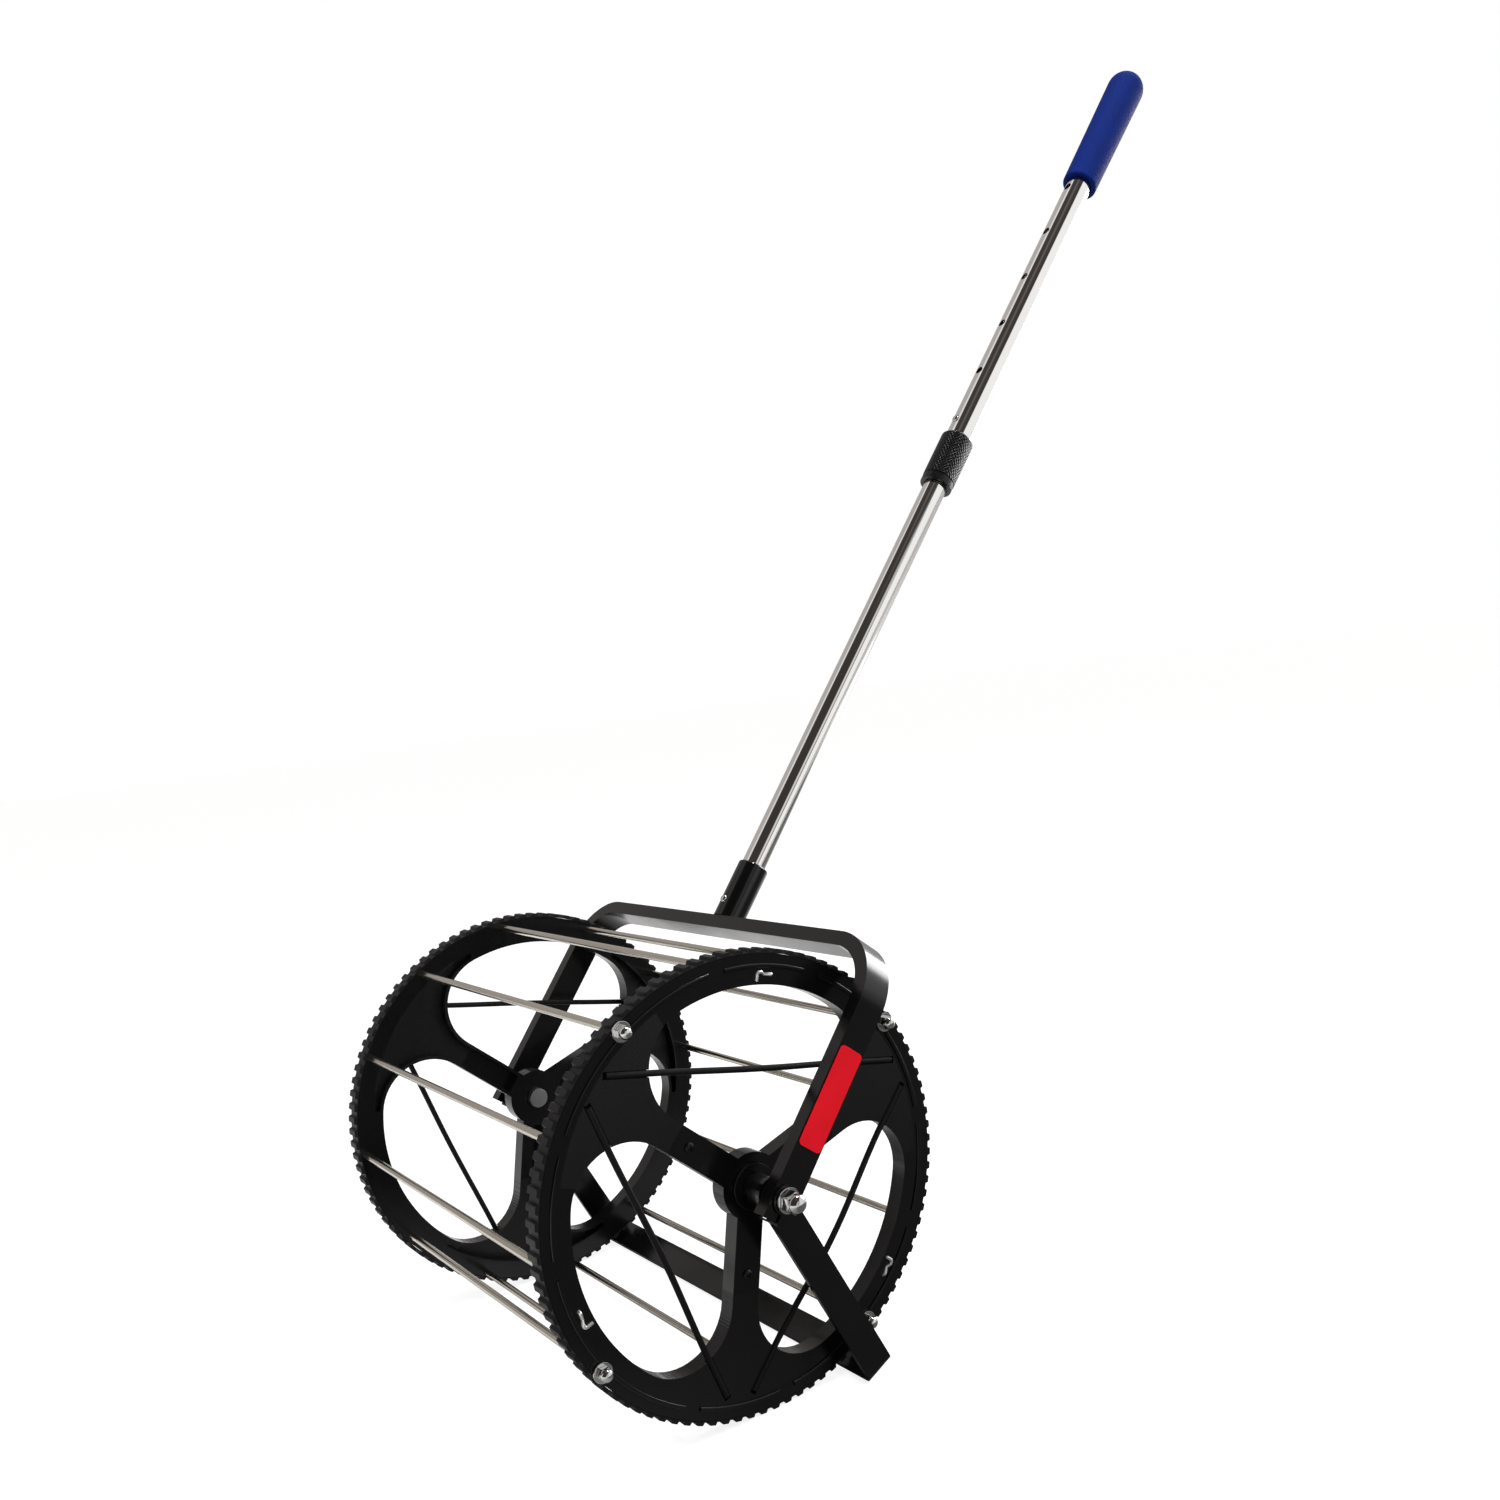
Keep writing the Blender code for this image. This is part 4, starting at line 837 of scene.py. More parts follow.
def foam():
    """Blue closed-cell foam with a pitted skin."""
    found = bpy.data.materials.get("Blue foam")
    if found:
        return found
    made, nodes, shader = new_material("Blue foam", specular=0.08)
    tint = bpy.context.scene.roller_finishes.foam
    grain = under_grain(nodes, shader, tint, 0.22, 0.74, 0.08, 60.0, 1300.0)
    place = nodes.add("ShaderNodeTexCoord")
    pits = nodes.add("ShaderNodeTexVoronoi")
    pits.inputs["Scale"].default_value = 1000.0
    nodes.link(place.outputs["Object"], pits.inputs["Vector"])
    height = nodes.math("MULTIPLY_ADD", pits.outputs["Distance"], 0.8, grain.outputs["Height"])
    bumped(nodes, shader, height, 0.6, 0.0004)
    return made


def drawn_metal(name, tint, roughness, spread, location, rotation, scale):
    """Metal with fine marks along its length."""
    found = bpy.data.materials.get(name)
    if found:
        return found
    made, nodes, shader = new_material(name, metallic=1.0)
    grain = under_grain(nodes, shader, tint, 0.05, roughness, spread, 12.0, 500.0)
    streaks = placed_group(nodes, streak_group(), Spread=spread)
    nodes.link(moved_vector(nodes, location, rotation, scale), streaks.inputs["Vector"])
    nodes.link(grain.outputs["Roughness"], streaks.inputs["Roughness"])
    nodes.link(streaks.outputs["Roughness"], shader.inputs["Roughness"])
    bumped(nodes, shader, streaks.outputs["Height"], 0.12, 0.00005)
    return made


def tube_metal():
    """Polished tube with faint marks up its length."""
    scene = bpy.context.scene
    turned_by = (scene.roller_frame.handle_angle - pi / 2, 0.0, 0.0)
    return drawn_metal(
        "Polished tube", scene.roller_finishes.tube, 0.075, 0.03, AXLE, turned_by, (0.0012, 0.0012, 0.15)
    )


def rod_metal():
    """Bright drawn rod steel with faint marks along the drum, its grey tinted warm as a painted reflection of
    yellow balls.
    """
    tint = bpy.context.scene.roller_finishes.rod
    return drawn_metal("Drawn rod steel", tint, 0.20, 0.06, AXLE, (0.0, 0.0, 0.0), (0.12, 0.0008, 0.0008))


def knurled_plastic():
    """Black plastic with a diamond knurl round the handle."""
    found = bpy.data.materials.get("Knurled plastic")
    if found:
        return found
    scene = bpy.context.scene
    made, nodes, shader = new_material("Knurled plastic", specular=0.16)
    under_grain(nodes, shader, scene.roller_finishes.plastic, 0.15, 0.34, 0.06, 40.0, 900.0)
    knurl = placed_group(nodes, knurl_group(), Count=28.0, Pitch=0.0036)
    turned_by = (scene.roller_frame.handle_angle - pi / 2, 0.0, 0.0)
    nodes.link(moved_vector(nodes, AXLE, turned_by), knurl.inputs["Vector"])
    bumped(nodes, shader, knurl.outputs["Height"], 0.6, 0.0006)
    return made


# Pieces of the drum


def wheel_shape(drum, bore_radius):
    """Near wheel in the drum's own frame: spoked plate, hollow behind the spokes, slotted for the cords."""
    middle = drum.drum_length / 2 - drum.wheel_width / 2
    face = drum.drum_length / 2
    windows = [turned_points(window_outline(drum), angle) for angle in window_directions()]
    wheel = slab("wheel", [circle(drum.wheel_radius, 288)] + windows, drum.wheel_width, WHEEL_EDGE)
    put(wheel, Matrix.Translation((0.0, 0.0, middle)))
    depth = drum.wheel_width - drum.plate + drum.wall
    for angle in spoke_directions():
        pocket = slab("pocket", [turned_points(pocket_outline(drum), angle)], depth)
        put(pocket, Matrix.Translation((0.0, 0.0, face - drum.plate - depth / 2)))
        wheel = cut(wheel, pocket)
    inner = cord_edge(drum) - drum.wall
    outer = sqrt(drum.cord_end ** 2 - drum.cord_offset ** 2) + drum.cord_radius
    size = (CORD_SLOT_WIDTH * drum.cord_radius, outer - inner, 2 * drum.cord_slot)
    slots = []
    for angle in window_directions():
        for way in (-1, 1):
            slot = block(size, (drum.cord_offset, way * (inner + outer) / 2, face))
            slots.append((slot, Matrix.Rotation(angle, 4, "Z")))
    wheel = cut(wheel, object_from("slots", gathered(slots)))
    bore = prism(48, bore_radius, middle - drum.wheel_width, face + drum.wall)
    wheel = cut(wheel, object_from("bore", bore))
    boss = spun(
        [
            (bore_radius, face + drum.boss_height), (drum.boss_radius, face + drum.boss_height),
            (drum.boss_radius, middle), (bore_radius, middle),
        ],
        steps=64, closed=True, edge=BOSS_EDGE,
    )
    shapes = [(boss, Matrix.Identity(4))]
    shapes += [(shape, Matrix.Identity(4)) for shape in ridge_shapes(drum)]
    extras = object_from("extras", gathered(shapes))
    work = bmesh.new()
    for source in (wheel, extras):
        work.from_mesh(source.data)
        bpy.data.objects.remove(source)
    return work


def ridge_shapes(drum):
    """Raised ridge near the rim, in one stretch between each two rods."""
    face = drum.drum_length / 2
    pitch = 2 * pi / drum.rod_count
    sweep = pitch - drum.ridge_gap
    edge = drum.ridge_height * RIDGE_ROUND
    shoulder = face + drum.ridge_height - edge
    profile = [(drum.ridge_low, face - drum.ridge_height)]
    profile += arc((drum.ridge_low + edge, shoulder), edge, pi, pi / 2, 5)
    profile += arc((drum.ridge_high - edge, shoulder), edge, pi / 2, 0.0, 5)
    profile += [(drum.ridge_high, face - drum.ridge_height)]
    shapes = []
    for number in range(drum.rod_count):
        start = number * pitch + drum.ridge_gap / 2
        work = bmesh.new()
        section = work.faces.new([
            work.verts.new((radius * cos(start), radius * sin(start), height)) for radius, height in profile
        ])
        bmesh.ops.spin(
            work, geom=[section], cent=(0, 0, 0), axis=(0, 0, 1), angle=sweep, steps=22, use_merge=False
        )
        bmesh.ops.recalc_face_normals(work, faces=work.faces)
        shapes.append(work)
    return shapes


class ROLLER_OT_wheels(Operator):
    """Model the two spoked wheels"""

    bl_idname = "roller.wheels"
    bl_label = "Wheels"

    def execute(self, context):
        drum = context.scene.roller_drum
        work = wheel_shape(drum, context.scene.roller_frame.bore_radius)
        for name, side in SIDES:
            solid(
                f"wheel_{name}_shell", work.copy(), drum_place(side=side), wheel_plastic(), "drum",
                "wheel_plastic", [f"wheel_{name}"],
            )
        work.free()
        return {"FINISHED"}


class ROLLER_OT_treads(Operator):
    """Finish the two rubber treads"""

    bl_idname = "roller.treads"
    bl_label = "Treads"

    def execute(self, context):
        for node in ("tread_near", "tread_far"):
            carried(node, grained("Tread rubber"))
        return {"FINISHED"}


def domed_nut_shape(flange_radius, flange, radius, hexagon, dome_height):
    """Domed nut on its washer face, seat at height 0."""
    top = flange + hexagon
    neck = radius * NUT_NECK
    shapes = [
        prism(6, radius, flange, top, edge=radius * NUT_EDGE),
        spun(dome(neck, top, dome_height) + [(neck, top - flange / 2), (0.0, top - flange / 2)], steps=32),
    ]
    if flange_radius:
        rim = [(0.0, flange), (flange_radius, flange), (flange_radius, 0.0), (0.0, 0.0)]
        shapes.append(spun(rim, steps=32, edge=flange / 4))
    return gathered([(shape, Matrix.Identity(4)) for shape in shapes])


class ROLLER_OT_rods(Operator):
    """Model the rods of the drum and the domed nuts on the bolted ones"""

    bl_idname = "roller.rods"
    bl_label = "Rods"

    def execute(self, context):
        drum = context.scene.roller_drum
        gap = context.scene.roller_frame.seat_gap
        face = drum.drum_length / 2
        for number in range(drum.rod_count):
            direction = 2 * pi * number / drum.rod_count
            bolted = number % BOLTED_EVERY == FIRST_BOLTED
            end = face + drum.thread if bolted else face - drum.wheel_width / 4
            profile = [(0.0, end), (drum.rod_radius, end), (drum.rod_radius, -end), (0.0, -end)]
            place = drum_place(drum.rod_circle, direction)
            shape = spun(profile, steps=28, edge=SMALL_EDGE)
            node = f"rod_{number + 1}"
            solid(f"{node}_bar", shape, place, rod_metal(), "drum", "rod_steel", [node])
            if not bolted:
                continue
            for name, side in SIDES:
                shape = domed_nut_shape(
                    drum.rod_nut_flange, drum.rod_nut_washer, drum.rod_nut_radius, drum.rod_nut_hexagon,
                    drum.rod_nut_dome,
                )
                place = drum_place(drum.rod_circle, direction, face + gap, side)
                node = f"rod_nut_{name}_{number + 1}"
                solid(f"{node}_cap", shape, place, grained("Bright plating"), "drum", "chrome_nuts", [node])
        return {"FINISHED"}


def cord_points(drum, gap, count=41):
    """Middle line of a cord in its window's frame, with its ends down in the slots."""
    half = sqrt(drum.cord_end ** 2 - drum.cord_offset ** 2)
    seated = drum.drum_length / 2 - drum.cord_slot + gap + drum.cord_radius
    edge = cord_edge(drum)
    points = []
    for step in range(count):
        along = half * (2 * step / (count - 1) - 1)
        lift = drum.cord_bow * cos(pi * along / (2 * edge)) ** 2 if abs(along) < edge else 0.0
        points.append((drum.cord_offset, along, seated + lift))
    return points


class ROLLER_OT_cords(Operator):
    """Model the elastic cord across each window"""

    bl_idname = "roller.cords"
    bl_label = "Cords"

    def execute(self, context):
        drum = context.scene.roller_drum
        points = cord_points(drum, context.scene.roller_frame.seat_gap)
        for name, side in SIDES:
            for number, direction in enumerate(window_directions()):
                node = f"cord_{name}_{number + 1}"
                cord = tube_along(f"{node}_elastic", points, drum.cord_radius)
                put(cord, drum_place(0.0, direction, 0.0, side))
                finished(cord, grained("Elastic cord"), "drum", "elastic_cord", [node], CORD_SMOOTH_LIMIT)
        return {"FINISHED"}


class ROLLER_OT_hooks(Operator):
    """Model the small wire hook at the outer edge of each window"""

    bl_idname = "roller.hooks"
    bl_label = "Wire hooks"

    def execute(self, context):
        drum = context.scene.roller_drum
        face = drum.drum_length / 2
        half = drum.hook_width / 2
        proud = face + drum.hook_wire / 2
        sunk = face - drum.hook_wire
        low = drum.hook_place - drum.hook_leg / 2
        high = drum.hook_place + drum.hook_leg / 2
        bend = drum.hook_wire * HOOK_BEND
        inner = high - drum.hook_step
        lower = proud - drum.hook_wire
        points = [(inner, -half, sunk)]
        points += [(inner, y, lower + z) for y, z in arc((-half + bend, 0.0), bend, pi, pi / 2, 5)]
        points += [(inner, 0.0, lower), (high, 2 * drum.hook_step, proud)]
        points += [(x, y, proud) for x, y in arc((high - bend, half - bend), bend, 0.0, pi / 2, 5)]
        points += [(low, half, proud), (low, half, sunk)]
        for name, side in SIDES:
            for number, direction in enumerate(window_directions()):
                hook = tube_along(f"hook_{name}_{number + 1}", points, drum.hook_wire, resolution=3)
                put(hook, drum_place(0.0, direction, 0.0, side))
                finished(hook, grained("Soft bright plating"), "drum", "chrome_nuts")
        return {"FINISHED"}


class ROLLER_OT_screws(Operator):
    """Model the round-headed screw in each spoke"""

    bl_idname = "roller.screws"
    bl_label = "Spoke screws"

    def execute(self, context):
        drum = context.scene.roller_drum
        gap = context.scene.roller_frame.seat_gap
        face = drum.drum_length / 2 + gap
        shank = drum.screw_radius / 2
        depth = drum.plate
        for name, side in SIDES:
            for number, direction in enumerate(spoke_directions()):
                profile = dome(drum.screw_radius, 0.0, drum.screw_height)
                profile += [(shank, 0.0), (shank, -depth), (0.0, -depth)]
                head = object_from("screw", spun(profile, steps=28))
                for angle in (-pi / 4, pi / 4):
                    size = (SCREW_SLOT * shank, shank / 2, drum.screw_height)
                    arm = block(size, (0.0, 0.0, drum.screw_height))
                    slot = gathered([(arm, Matrix.Rotation(angle, 4, "Z"))])
                    head = cut(head, object_from("slot", slot))
                node = f"spoke_screw_{name}_{number + 1}"
                head.name = f"{node}_head"
                put(head, drum_place(drum.screw_place, direction, face, side))
                finished(head, grained("Satin black plastic"), "drum", "black_plastic", [node])
        return {"FINISHED"}


# Pieces of the frame


def axle_spans(sizes, drum):
    """Distances along the axle of the pieces on a stub bolt."""
    gap = sizes.seat_gap
    boss = drum.drum_length / 2 + drum.boss_height
    arm_inner = sizes.yoke_half - sizes.yoke_depth
    leg_washer = arm_inner - gap - sizes.leg_washer
    leg_outer = leg_washer - gap
    leg_inner = leg_outer - sizes.stand_thickness
    washer = sizes.yoke_half + gap + sizes.tab + gap
    return {
        "spacer": (boss + gap, leg_inner - gap),
        "leg_washer": (leg_washer, leg_washer + sizes.leg_washer),
        "axle_washer": (washer, washer + sizes.washer),
        "nut": washer + sizes.washer + gap,
        "leg_outer": leg_outer,
        "wheel_inner": drum.drum_length / 2 - drum.wheel_width,
    }


def sleeve_profile(outer, inner, low, high):
    """Closed profile of a washer, a spacer or a plain tube."""
    return [(inner, high), (outer, high), (outer, low), (inner, low)]


def sleeve(outer, inner, span, edge):
    """Washer or spacer along its own Z axis."""
    return spun(sleeve_profile(outer, inner, *span), steps=48, closed=True, edge=edge)


class ROLLER_OT_axle(Operator):
    """Model the stub bolts, spacers, washers and domed nuts at both ends of the axle"""

    bl_idname = "roller.axle"
    bl_label = "Axle"

    def execute(self, context):
        sizes = context.scene.roller_frame
        spans = axle_spans(sizes, context.scene.roller_drum)
        for name, side in SIDES:
            place = axle_side_place(side)
            head = spans["wheel_inner"] - sizes.seat_gap
            foot = head - sizes.bolt_head_height
            end = spans["nut"] + sizes.nut_hexagon
            bolt = [
                (0.0, end), (sizes.bolt_radius, end), (sizes.bolt_radius, head),
                (sizes.bolt_head_radius, head), (sizes.bolt_head_radius, foot), (0.0, foot),
            ]
            nut = domed_nut_shape(0.0, 0.0, sizes.nut_radius, sizes.nut_hexagon, sizes.nut_dome)
            at_nut = Matrix.Translation((0.0, 0.0, spans["nut"]))
            made = [("axle_bolt", spun(bolt, steps=40, edge=BOLT_EDGE), "Zinc plating", "zinc_steel", place)]
            for node, radius, edge, surface, slot_name in (
                ("spacer", sizes.spacer_radius, WHEEL_EDGE, "Satin black plastic", "black_plastic"),
                ("leg_washer", sizes.spacer_radius, SMALL_EDGE, "Satin black plastic", "black_plastic"),
                ("axle_washer", sizes.washer_radius, WASHER_EDGE, "Bright plating", "chrome_nuts"),
            ):
                shape = sleeve(radius, sizes.bore_radius, spans[node], edge)
                made.append((node, shape, surface, slot_name, place))
            made.append(("axle_nut", nut, "Bright plating", "chrome_nuts", place @ at_nut))
            for node, shape, surface, slot_name, stands in made:
                held = f"{node}_{name}"
                solid(f"{held}_piece", shape, stands, grained(surface), "yoke", slot_name, [held])
            carried(f"stop_tab_{name}", grained("Black gloss paint"))
        return {"FINISHED"}


class ROLLER_OT_yoke(Operator):
    """Model the bent rectangular tube of the yoke"""

    bl_idname = "roller.yoke"
    bl_label = "Yoke"

    def execute(self, context):
        sizes = context.scene.roller_frame
        outline = u_outline(
            sizes.yoke_half, -sizes.arm_end, sizes.yoke_reach, sizes.yoke_bend, sizes.yoke_depth, steps=36
        )
        body = slab("yoke", [outline], sizes.yoke_width, sizes.yoke_edge, segments=4)
        put(body, Matrix.Rotation(pi / 2, 4, "X"))
        hollow = (
            sizes.yoke_depth - 2 * sizes.yoke_wall, sizes.yoke_width - 2 * sizes.yoke_wall, 2 * sizes.arm_end,
        )
        for side in (-1, 1):
            middle = side * (sizes.yoke_half - sizes.yoke_depth / 2)
            work = block(hollow, (middle, 0.0, -HOLLOW_DROP * sizes.arm_end))
            body = cut(body, object_from("hollow", work))
        body.name = "yoke_tube"
        put(body, handle_place())
        finished(body, grained("Black gloss paint"), "yoke", "black_paint", ["yoke"])
        return {"FINISHED"}


class ROLLER_OT_label(Operator):
    """Model the plain sticker on the near arm"""

    bl_idname = "roller.label"
    bl_label = "Label"

    def execute(self, context):
        sizes = context.scene.roller_frame
        half_width = sizes.label_width / 2 - sizes.label_corner
        half_length = sizes.label_length / 2 - sizes.label_corner
        outline = []
        for x, y, start in ((1, 1, 0.0), (-1, 1, pi / 2), (-1, -1, pi), (1, -1, 3 * pi / 2)):
            centre = (x * half_width, y * half_length)
            outline += arc(centre, sizes.label_corner, start, start + pi / 2, 8)
        sticker = slab("label_vinyl", [outline], sizes.label_thickness, edge=sizes.label_thickness / 4)
        shift = Matrix.Translation((
            sizes.yoke_half + sizes.seat_gap + sizes.label_thickness / 2, 0.0,
            sizes.label_low + sizes.label_length / 2,
        ))
        facing = Euler((pi / 2, 0.0, pi / 2)).to_matrix().to_4x4()
        put(sticker, handle_place() @ shift @ facing)
        finished(sticker, grained("Red vinyl"), "yoke", "red_label", ["label"])
        return {"FINISHED"}


class ROLLER_OT_stand(Operator):
    """Model the folding stand's bent flat bar"""

    bl_idname = "roller.stand"
    bl_label = "Stand"

    def execute(self, context):
        sizes = context.scene.roller_frame
        spans = axle_spans(sizes, context.scene.roller_drum)
        half = sizes.stand_width / 2
        angle = sizes.stand_angle
        reach = (AXLE.z - half * cos(angle)) / sin(angle)
        outline = u_outline(
            spans["leg_outer"], -sizes.stand_width, reach, sizes.stand_bend, sizes.stand_thickness, steps=8
        )
        body = slab("stand", [outline], sizes.stand_width, sizes.stand_edge)
        put(body, Matrix.Rotation(pi / 2, 4, "X"))
        wide = 2 * half
        side = arc((0.0, 0.0), half, pi, 2 * pi, 32)
        side += [(wide, 0.0), (wide, 2 * reach), (-wide, 2 * reach), (-wide, 0.0)]
        keep = slab("keep", [side, circle(sizes.bore_radius, 32)], 2 * (spans["leg_outer"] + half))
        put(keep, Matrix.Rotation(pi / 2, 4, "Z") @ Matrix.Rotation(pi / 2, 4, "X"))
        body = cut(body, keep, "INTERSECT")
        body.name = "stand_bar"
        put(body, stand_place())
        finished(body, grained("Black gloss paint"), "stand", "black_paint", ["stand"])
        return {"FINISHED"}


# Pieces of the handle


def hole_tool(radius, reach, places):
    """Round cutters that go in through the front of an upright tube."""
    shapes = []
    for place in places:
        matrix = Matrix.Translation((0.0, 0.0, place)) @ Matrix.Rotation(pi / 2, 4, "X")
        shapes.append((prism(24, radius, 0.0, 2 * reach), matrix))
    return object_from("holes", gathered(shapes))


def handle_piece(name, profile, surface, body, slot_name, nodes, holes=None, edge=0.0, steps=56, closed=True):
    """Turned piece of the handle, with its holes."""
    piece = object_from(name, spun(profile, steps=steps, closed=closed, edge=edge))
    if holes:
        piece = cut(piece, holes)
    put(piece, handle_place())
    return finished(piece, surface, body, slot_name, nodes)


class ROLLER_OT_socket(Operator):
    """Model the socket on the yoke"""

    bl_idname = "roller.socket"
    bl_label = "Socket"

    def execute(self, context):
        sizes = context.scene.roller_handle
        gap = context.scene.roller_frame.seat_gap
        floor = sizes.socket_low + sizes.socket_floor
        profile = [
            (0.0, floor), (sizes.socket_bore, floor), (sizes.socket_bore, sizes.socket_top),
            (sizes.socket_radius - sizes.socket_edge, sizes.socket_top),
            (sizes.socket_radius, sizes.socket_top - sizes.socket_edge),
            (sizes.socket_radius, sizes.socket_low), (0.0, sizes.socket_low),
        ]
        holes = hole_tool(sizes.button_radius + gap, sizes.socket_radius, [sizes.lower_button])
        handle_piece(
            "socket_tube", profile, grained("Black gloss paint"), "yoke", "black_paint", ["socket"], holes,
            TUBE_EDGE, closed=False,
        )
        return {"FINISHED"}


class ROLLER_OT_tubes(Operator):
    """Model the two handle tubes with their lock holes"""

    bl_idname = "roller.tubes"
    bl_label = "Tubes"

    def execute(self, context):
        sizes = context.scene.roller_handle
        radius = sizes.button_radius + context.scene.roller_frame.seat_gap
        lock_holes = [sizes.upper_button + sizes.hole_pitch * number for number in range(sizes.hole_count)]
        pressed = [sizes.lower_button, sizes.upper_button]
        for name, outer, low, high, places in (
            ("lower", sizes.lower_radius, sizes.lower_low, sizes.lower_top, pressed),
            ("upper", sizes.upper_radius, sizes.upper_low, sizes.upper_top, lock_holes),
        ):
            profile = sleeve_profile(outer, outer - sizes.tube_wall, low, high)
            handle_piece(
                f"{name}_tube_metal", profile, tube_metal(), f"{name}_handle", "polished_tube",
                [f"{name}_tube"], hole_tool(radius, outer, places), TUBE_EDGE,
            )
            carried(f"{name}_leaf_spring", grained("Zinc plating"))
        return {"FINISHED"}


class ROLLER_OT_buttons(Operator):
    """Model the two snap buttons"""

    bl_idname = "roller.buttons"
    bl_label = "Snap buttons"

    def execute(self, context):
        sizes = context.scene.roller_handle
        gap = context.scene.roller_frame.seat_gap
        bore = sizes.lower_radius - sizes.tube_wall
        flange = sqrt(bore ** 2 - sizes.button_flange ** 2) - gap
        low = flange - sizes.button_base
        places = (
            ("lower_button", sizes.lower_button, sizes.socket_radius),
            ("upper_button", sizes.upper_button, sizes.upper_radius),
        )
        for node, place, wall in places:
            profile = dome(sizes.button_radius, wall, sizes.button_proud)
            profile += [(sizes.button_radius, flange), (sizes.button_flange, flange)]
            profile += [(sizes.button_flange, low), (0.0, low)]
            matrix = handle_place((0.0, 0.0, place)) @ Matrix.Rotation(pi / 2, 4, "X")
            shape = spun(profile, steps=32)
            solid(f"{node}_pin", shape, matrix, grained("Bright plating"), node, "chrome_nuts", [node])
        return {"FINISHED"}


class ROLLER_OT_collar(Operator):
    """Model the knurled collar between the tubes"""

    bl_idname = "roller.collar"
    bl_label = "Collar"

    def execute(self, context):
        sizes = context.scene.roller_handle
        gap = context.scene.roller_frame.seat_gap
        bore = sizes.upper_radius + gap
        lip = sizes.collar_lip
        band_top = sizes.collar_low + sizes.collar_band
        step = sizes.upper_low - gap
        knurled_part = [
            (bore, sizes.collar_high), (sizes.collar_radius - sizes.collar_edge, sizes.collar_high),
            (sizes.collar_radius, sizes.collar_high - sizes.collar_edge), (sizes.collar_radius, band_top),
            (bore, band_top),
        ]
        handle_piece(
            "collar_sleeve", knurled_part, knurled_plastic(), "upper_handle", "black_plastic", ["collar"],
            edge=SMALL_EDGE,
        )
        band_radius = sizes.collar_radius - gap
        band = [
            (bore, band_top), (band_radius, band_top), (band_radius, sizes.collar_low),
            (lip, sizes.collar_low), (lip, step), (bore, step),
        ]
        handle_piece(
            "collar_band", band, grained("Satin black plastic"), "upper_handle", "black_plastic", [],
            edge=SMALL_EDGE,
        )
        return {"FINISHED"}


class ROLLER_OT_grip(Operator):
    """Model the foam grip"""

    bl_idname = "roller.grip"
    bl_label = "Grip"

    def execute(self, context):
        sizes = context.scene.roller_handle
        gap = context.scene.roller_frame.seat_gap
        bore = sizes.upper_radius + gap
        top = sizes.upper_top + gap
        dome_low = sizes.grip_top - sizes.grip_dome
        mouth_edge = sizes.grip_low + (sizes.grip_low_radius - sizes.grip_mouth)
        profile = dome(sizes.grip_high_radius, dome_low, sizes.grip_dome, steps=14)
        rows = 24
        for row in range(1, rows):
            share = row / rows
            radius = sizes.grip_high_radius + (sizes.grip_low_radius - sizes.grip_high_radius) * share
            profile.append((radius, dome_low + (mouth_edge - dome_low) * share))
        width = sizes.grip_low_radius - sizes.grip_mouth
        profile += arc((sizes.grip_mouth, mouth_edge), width, 0.0, -pi / 2, 6)
        profile += [(bore, sizes.grip_low), (bore, top), (0.0, top)]
        grip = handle_piece(
            "grip_foam", profile, foam(), "upper_handle", "blue_foam", ["grip"], steps=72, closed=False
        )
        return {"FINISHED"}


# Stage


# Brightness of the room round the handle's line, from straight behind it through the viewer's left, the
# viewer and the viewer's right: (share of the turn, brightness). One row for low places, one for high.
LOW_BANDS = (
    (0.00, 0.48), (0.255, 0.48), (0.270, 0.90), (0.300, 0.90), (0.311, 0.045), (0.500, 0.045), (0.515, 0.75),
    (0.548, 0.75), (0.556, 0.12), (0.566, 0.12), (0.576, 1.00), (0.700, 1.00), (0.725, 0.60), (0.990, 0.48),
)
HIGH_BANDS = (
    (0.00, 0.48), (0.255, 0.48), (0.270, 0.90), (0.295, 0.90), (0.305, 0.060), (0.390, 0.050), (0.430, 0.150),
    (0.460, 0.060), (0.541, 0.040), (0.553, 1.00), (0.790, 1.00), (0.812, 0.40), (0.835, 0.40), (0.850, 1.00),
    (0.930, 1.00), (0.990, 0.48),
)


# Height of a direction along the handle at which the low row starts to give way, and how fast it does
BAND_LEVEL = 0.42
BAND_CHANGE = 10.0
# How much red, green and blue the dark bands lose
BAND_WARMTH = (0.0, 0.12, 0.18)

# Name, setting of its power, its two sides, its place from the axle, and whether glossy pieces reflect it
LAMPS = (
    ("long_lamp", "key_light", (0.30, 1.80), (0.62, 0.12, 1.45), False),
    ("back_lamp", "back_light", (0.90, 0.90), (0.0, 1.9, 0.70), True),
    ("top_lamp", "top_light", (0.36, 0.36), (0.25, 1.20, 2.80), True),
)
SKY_DIRECTION = (-0.40, -0.50, -0.77)
SKY_SPREAD = radians(60)

# Axes of the camera in the world: right, up and back
CAMERA_AXES = (
    (0.574306, 0.809362, -0.122905),
    (-0.044962, 0.181091, 0.982438),
    (0.817405, -0.558694, 0.140392),
)
SENSOR_WIDTH = 36.0
CLIP_START = 0.01


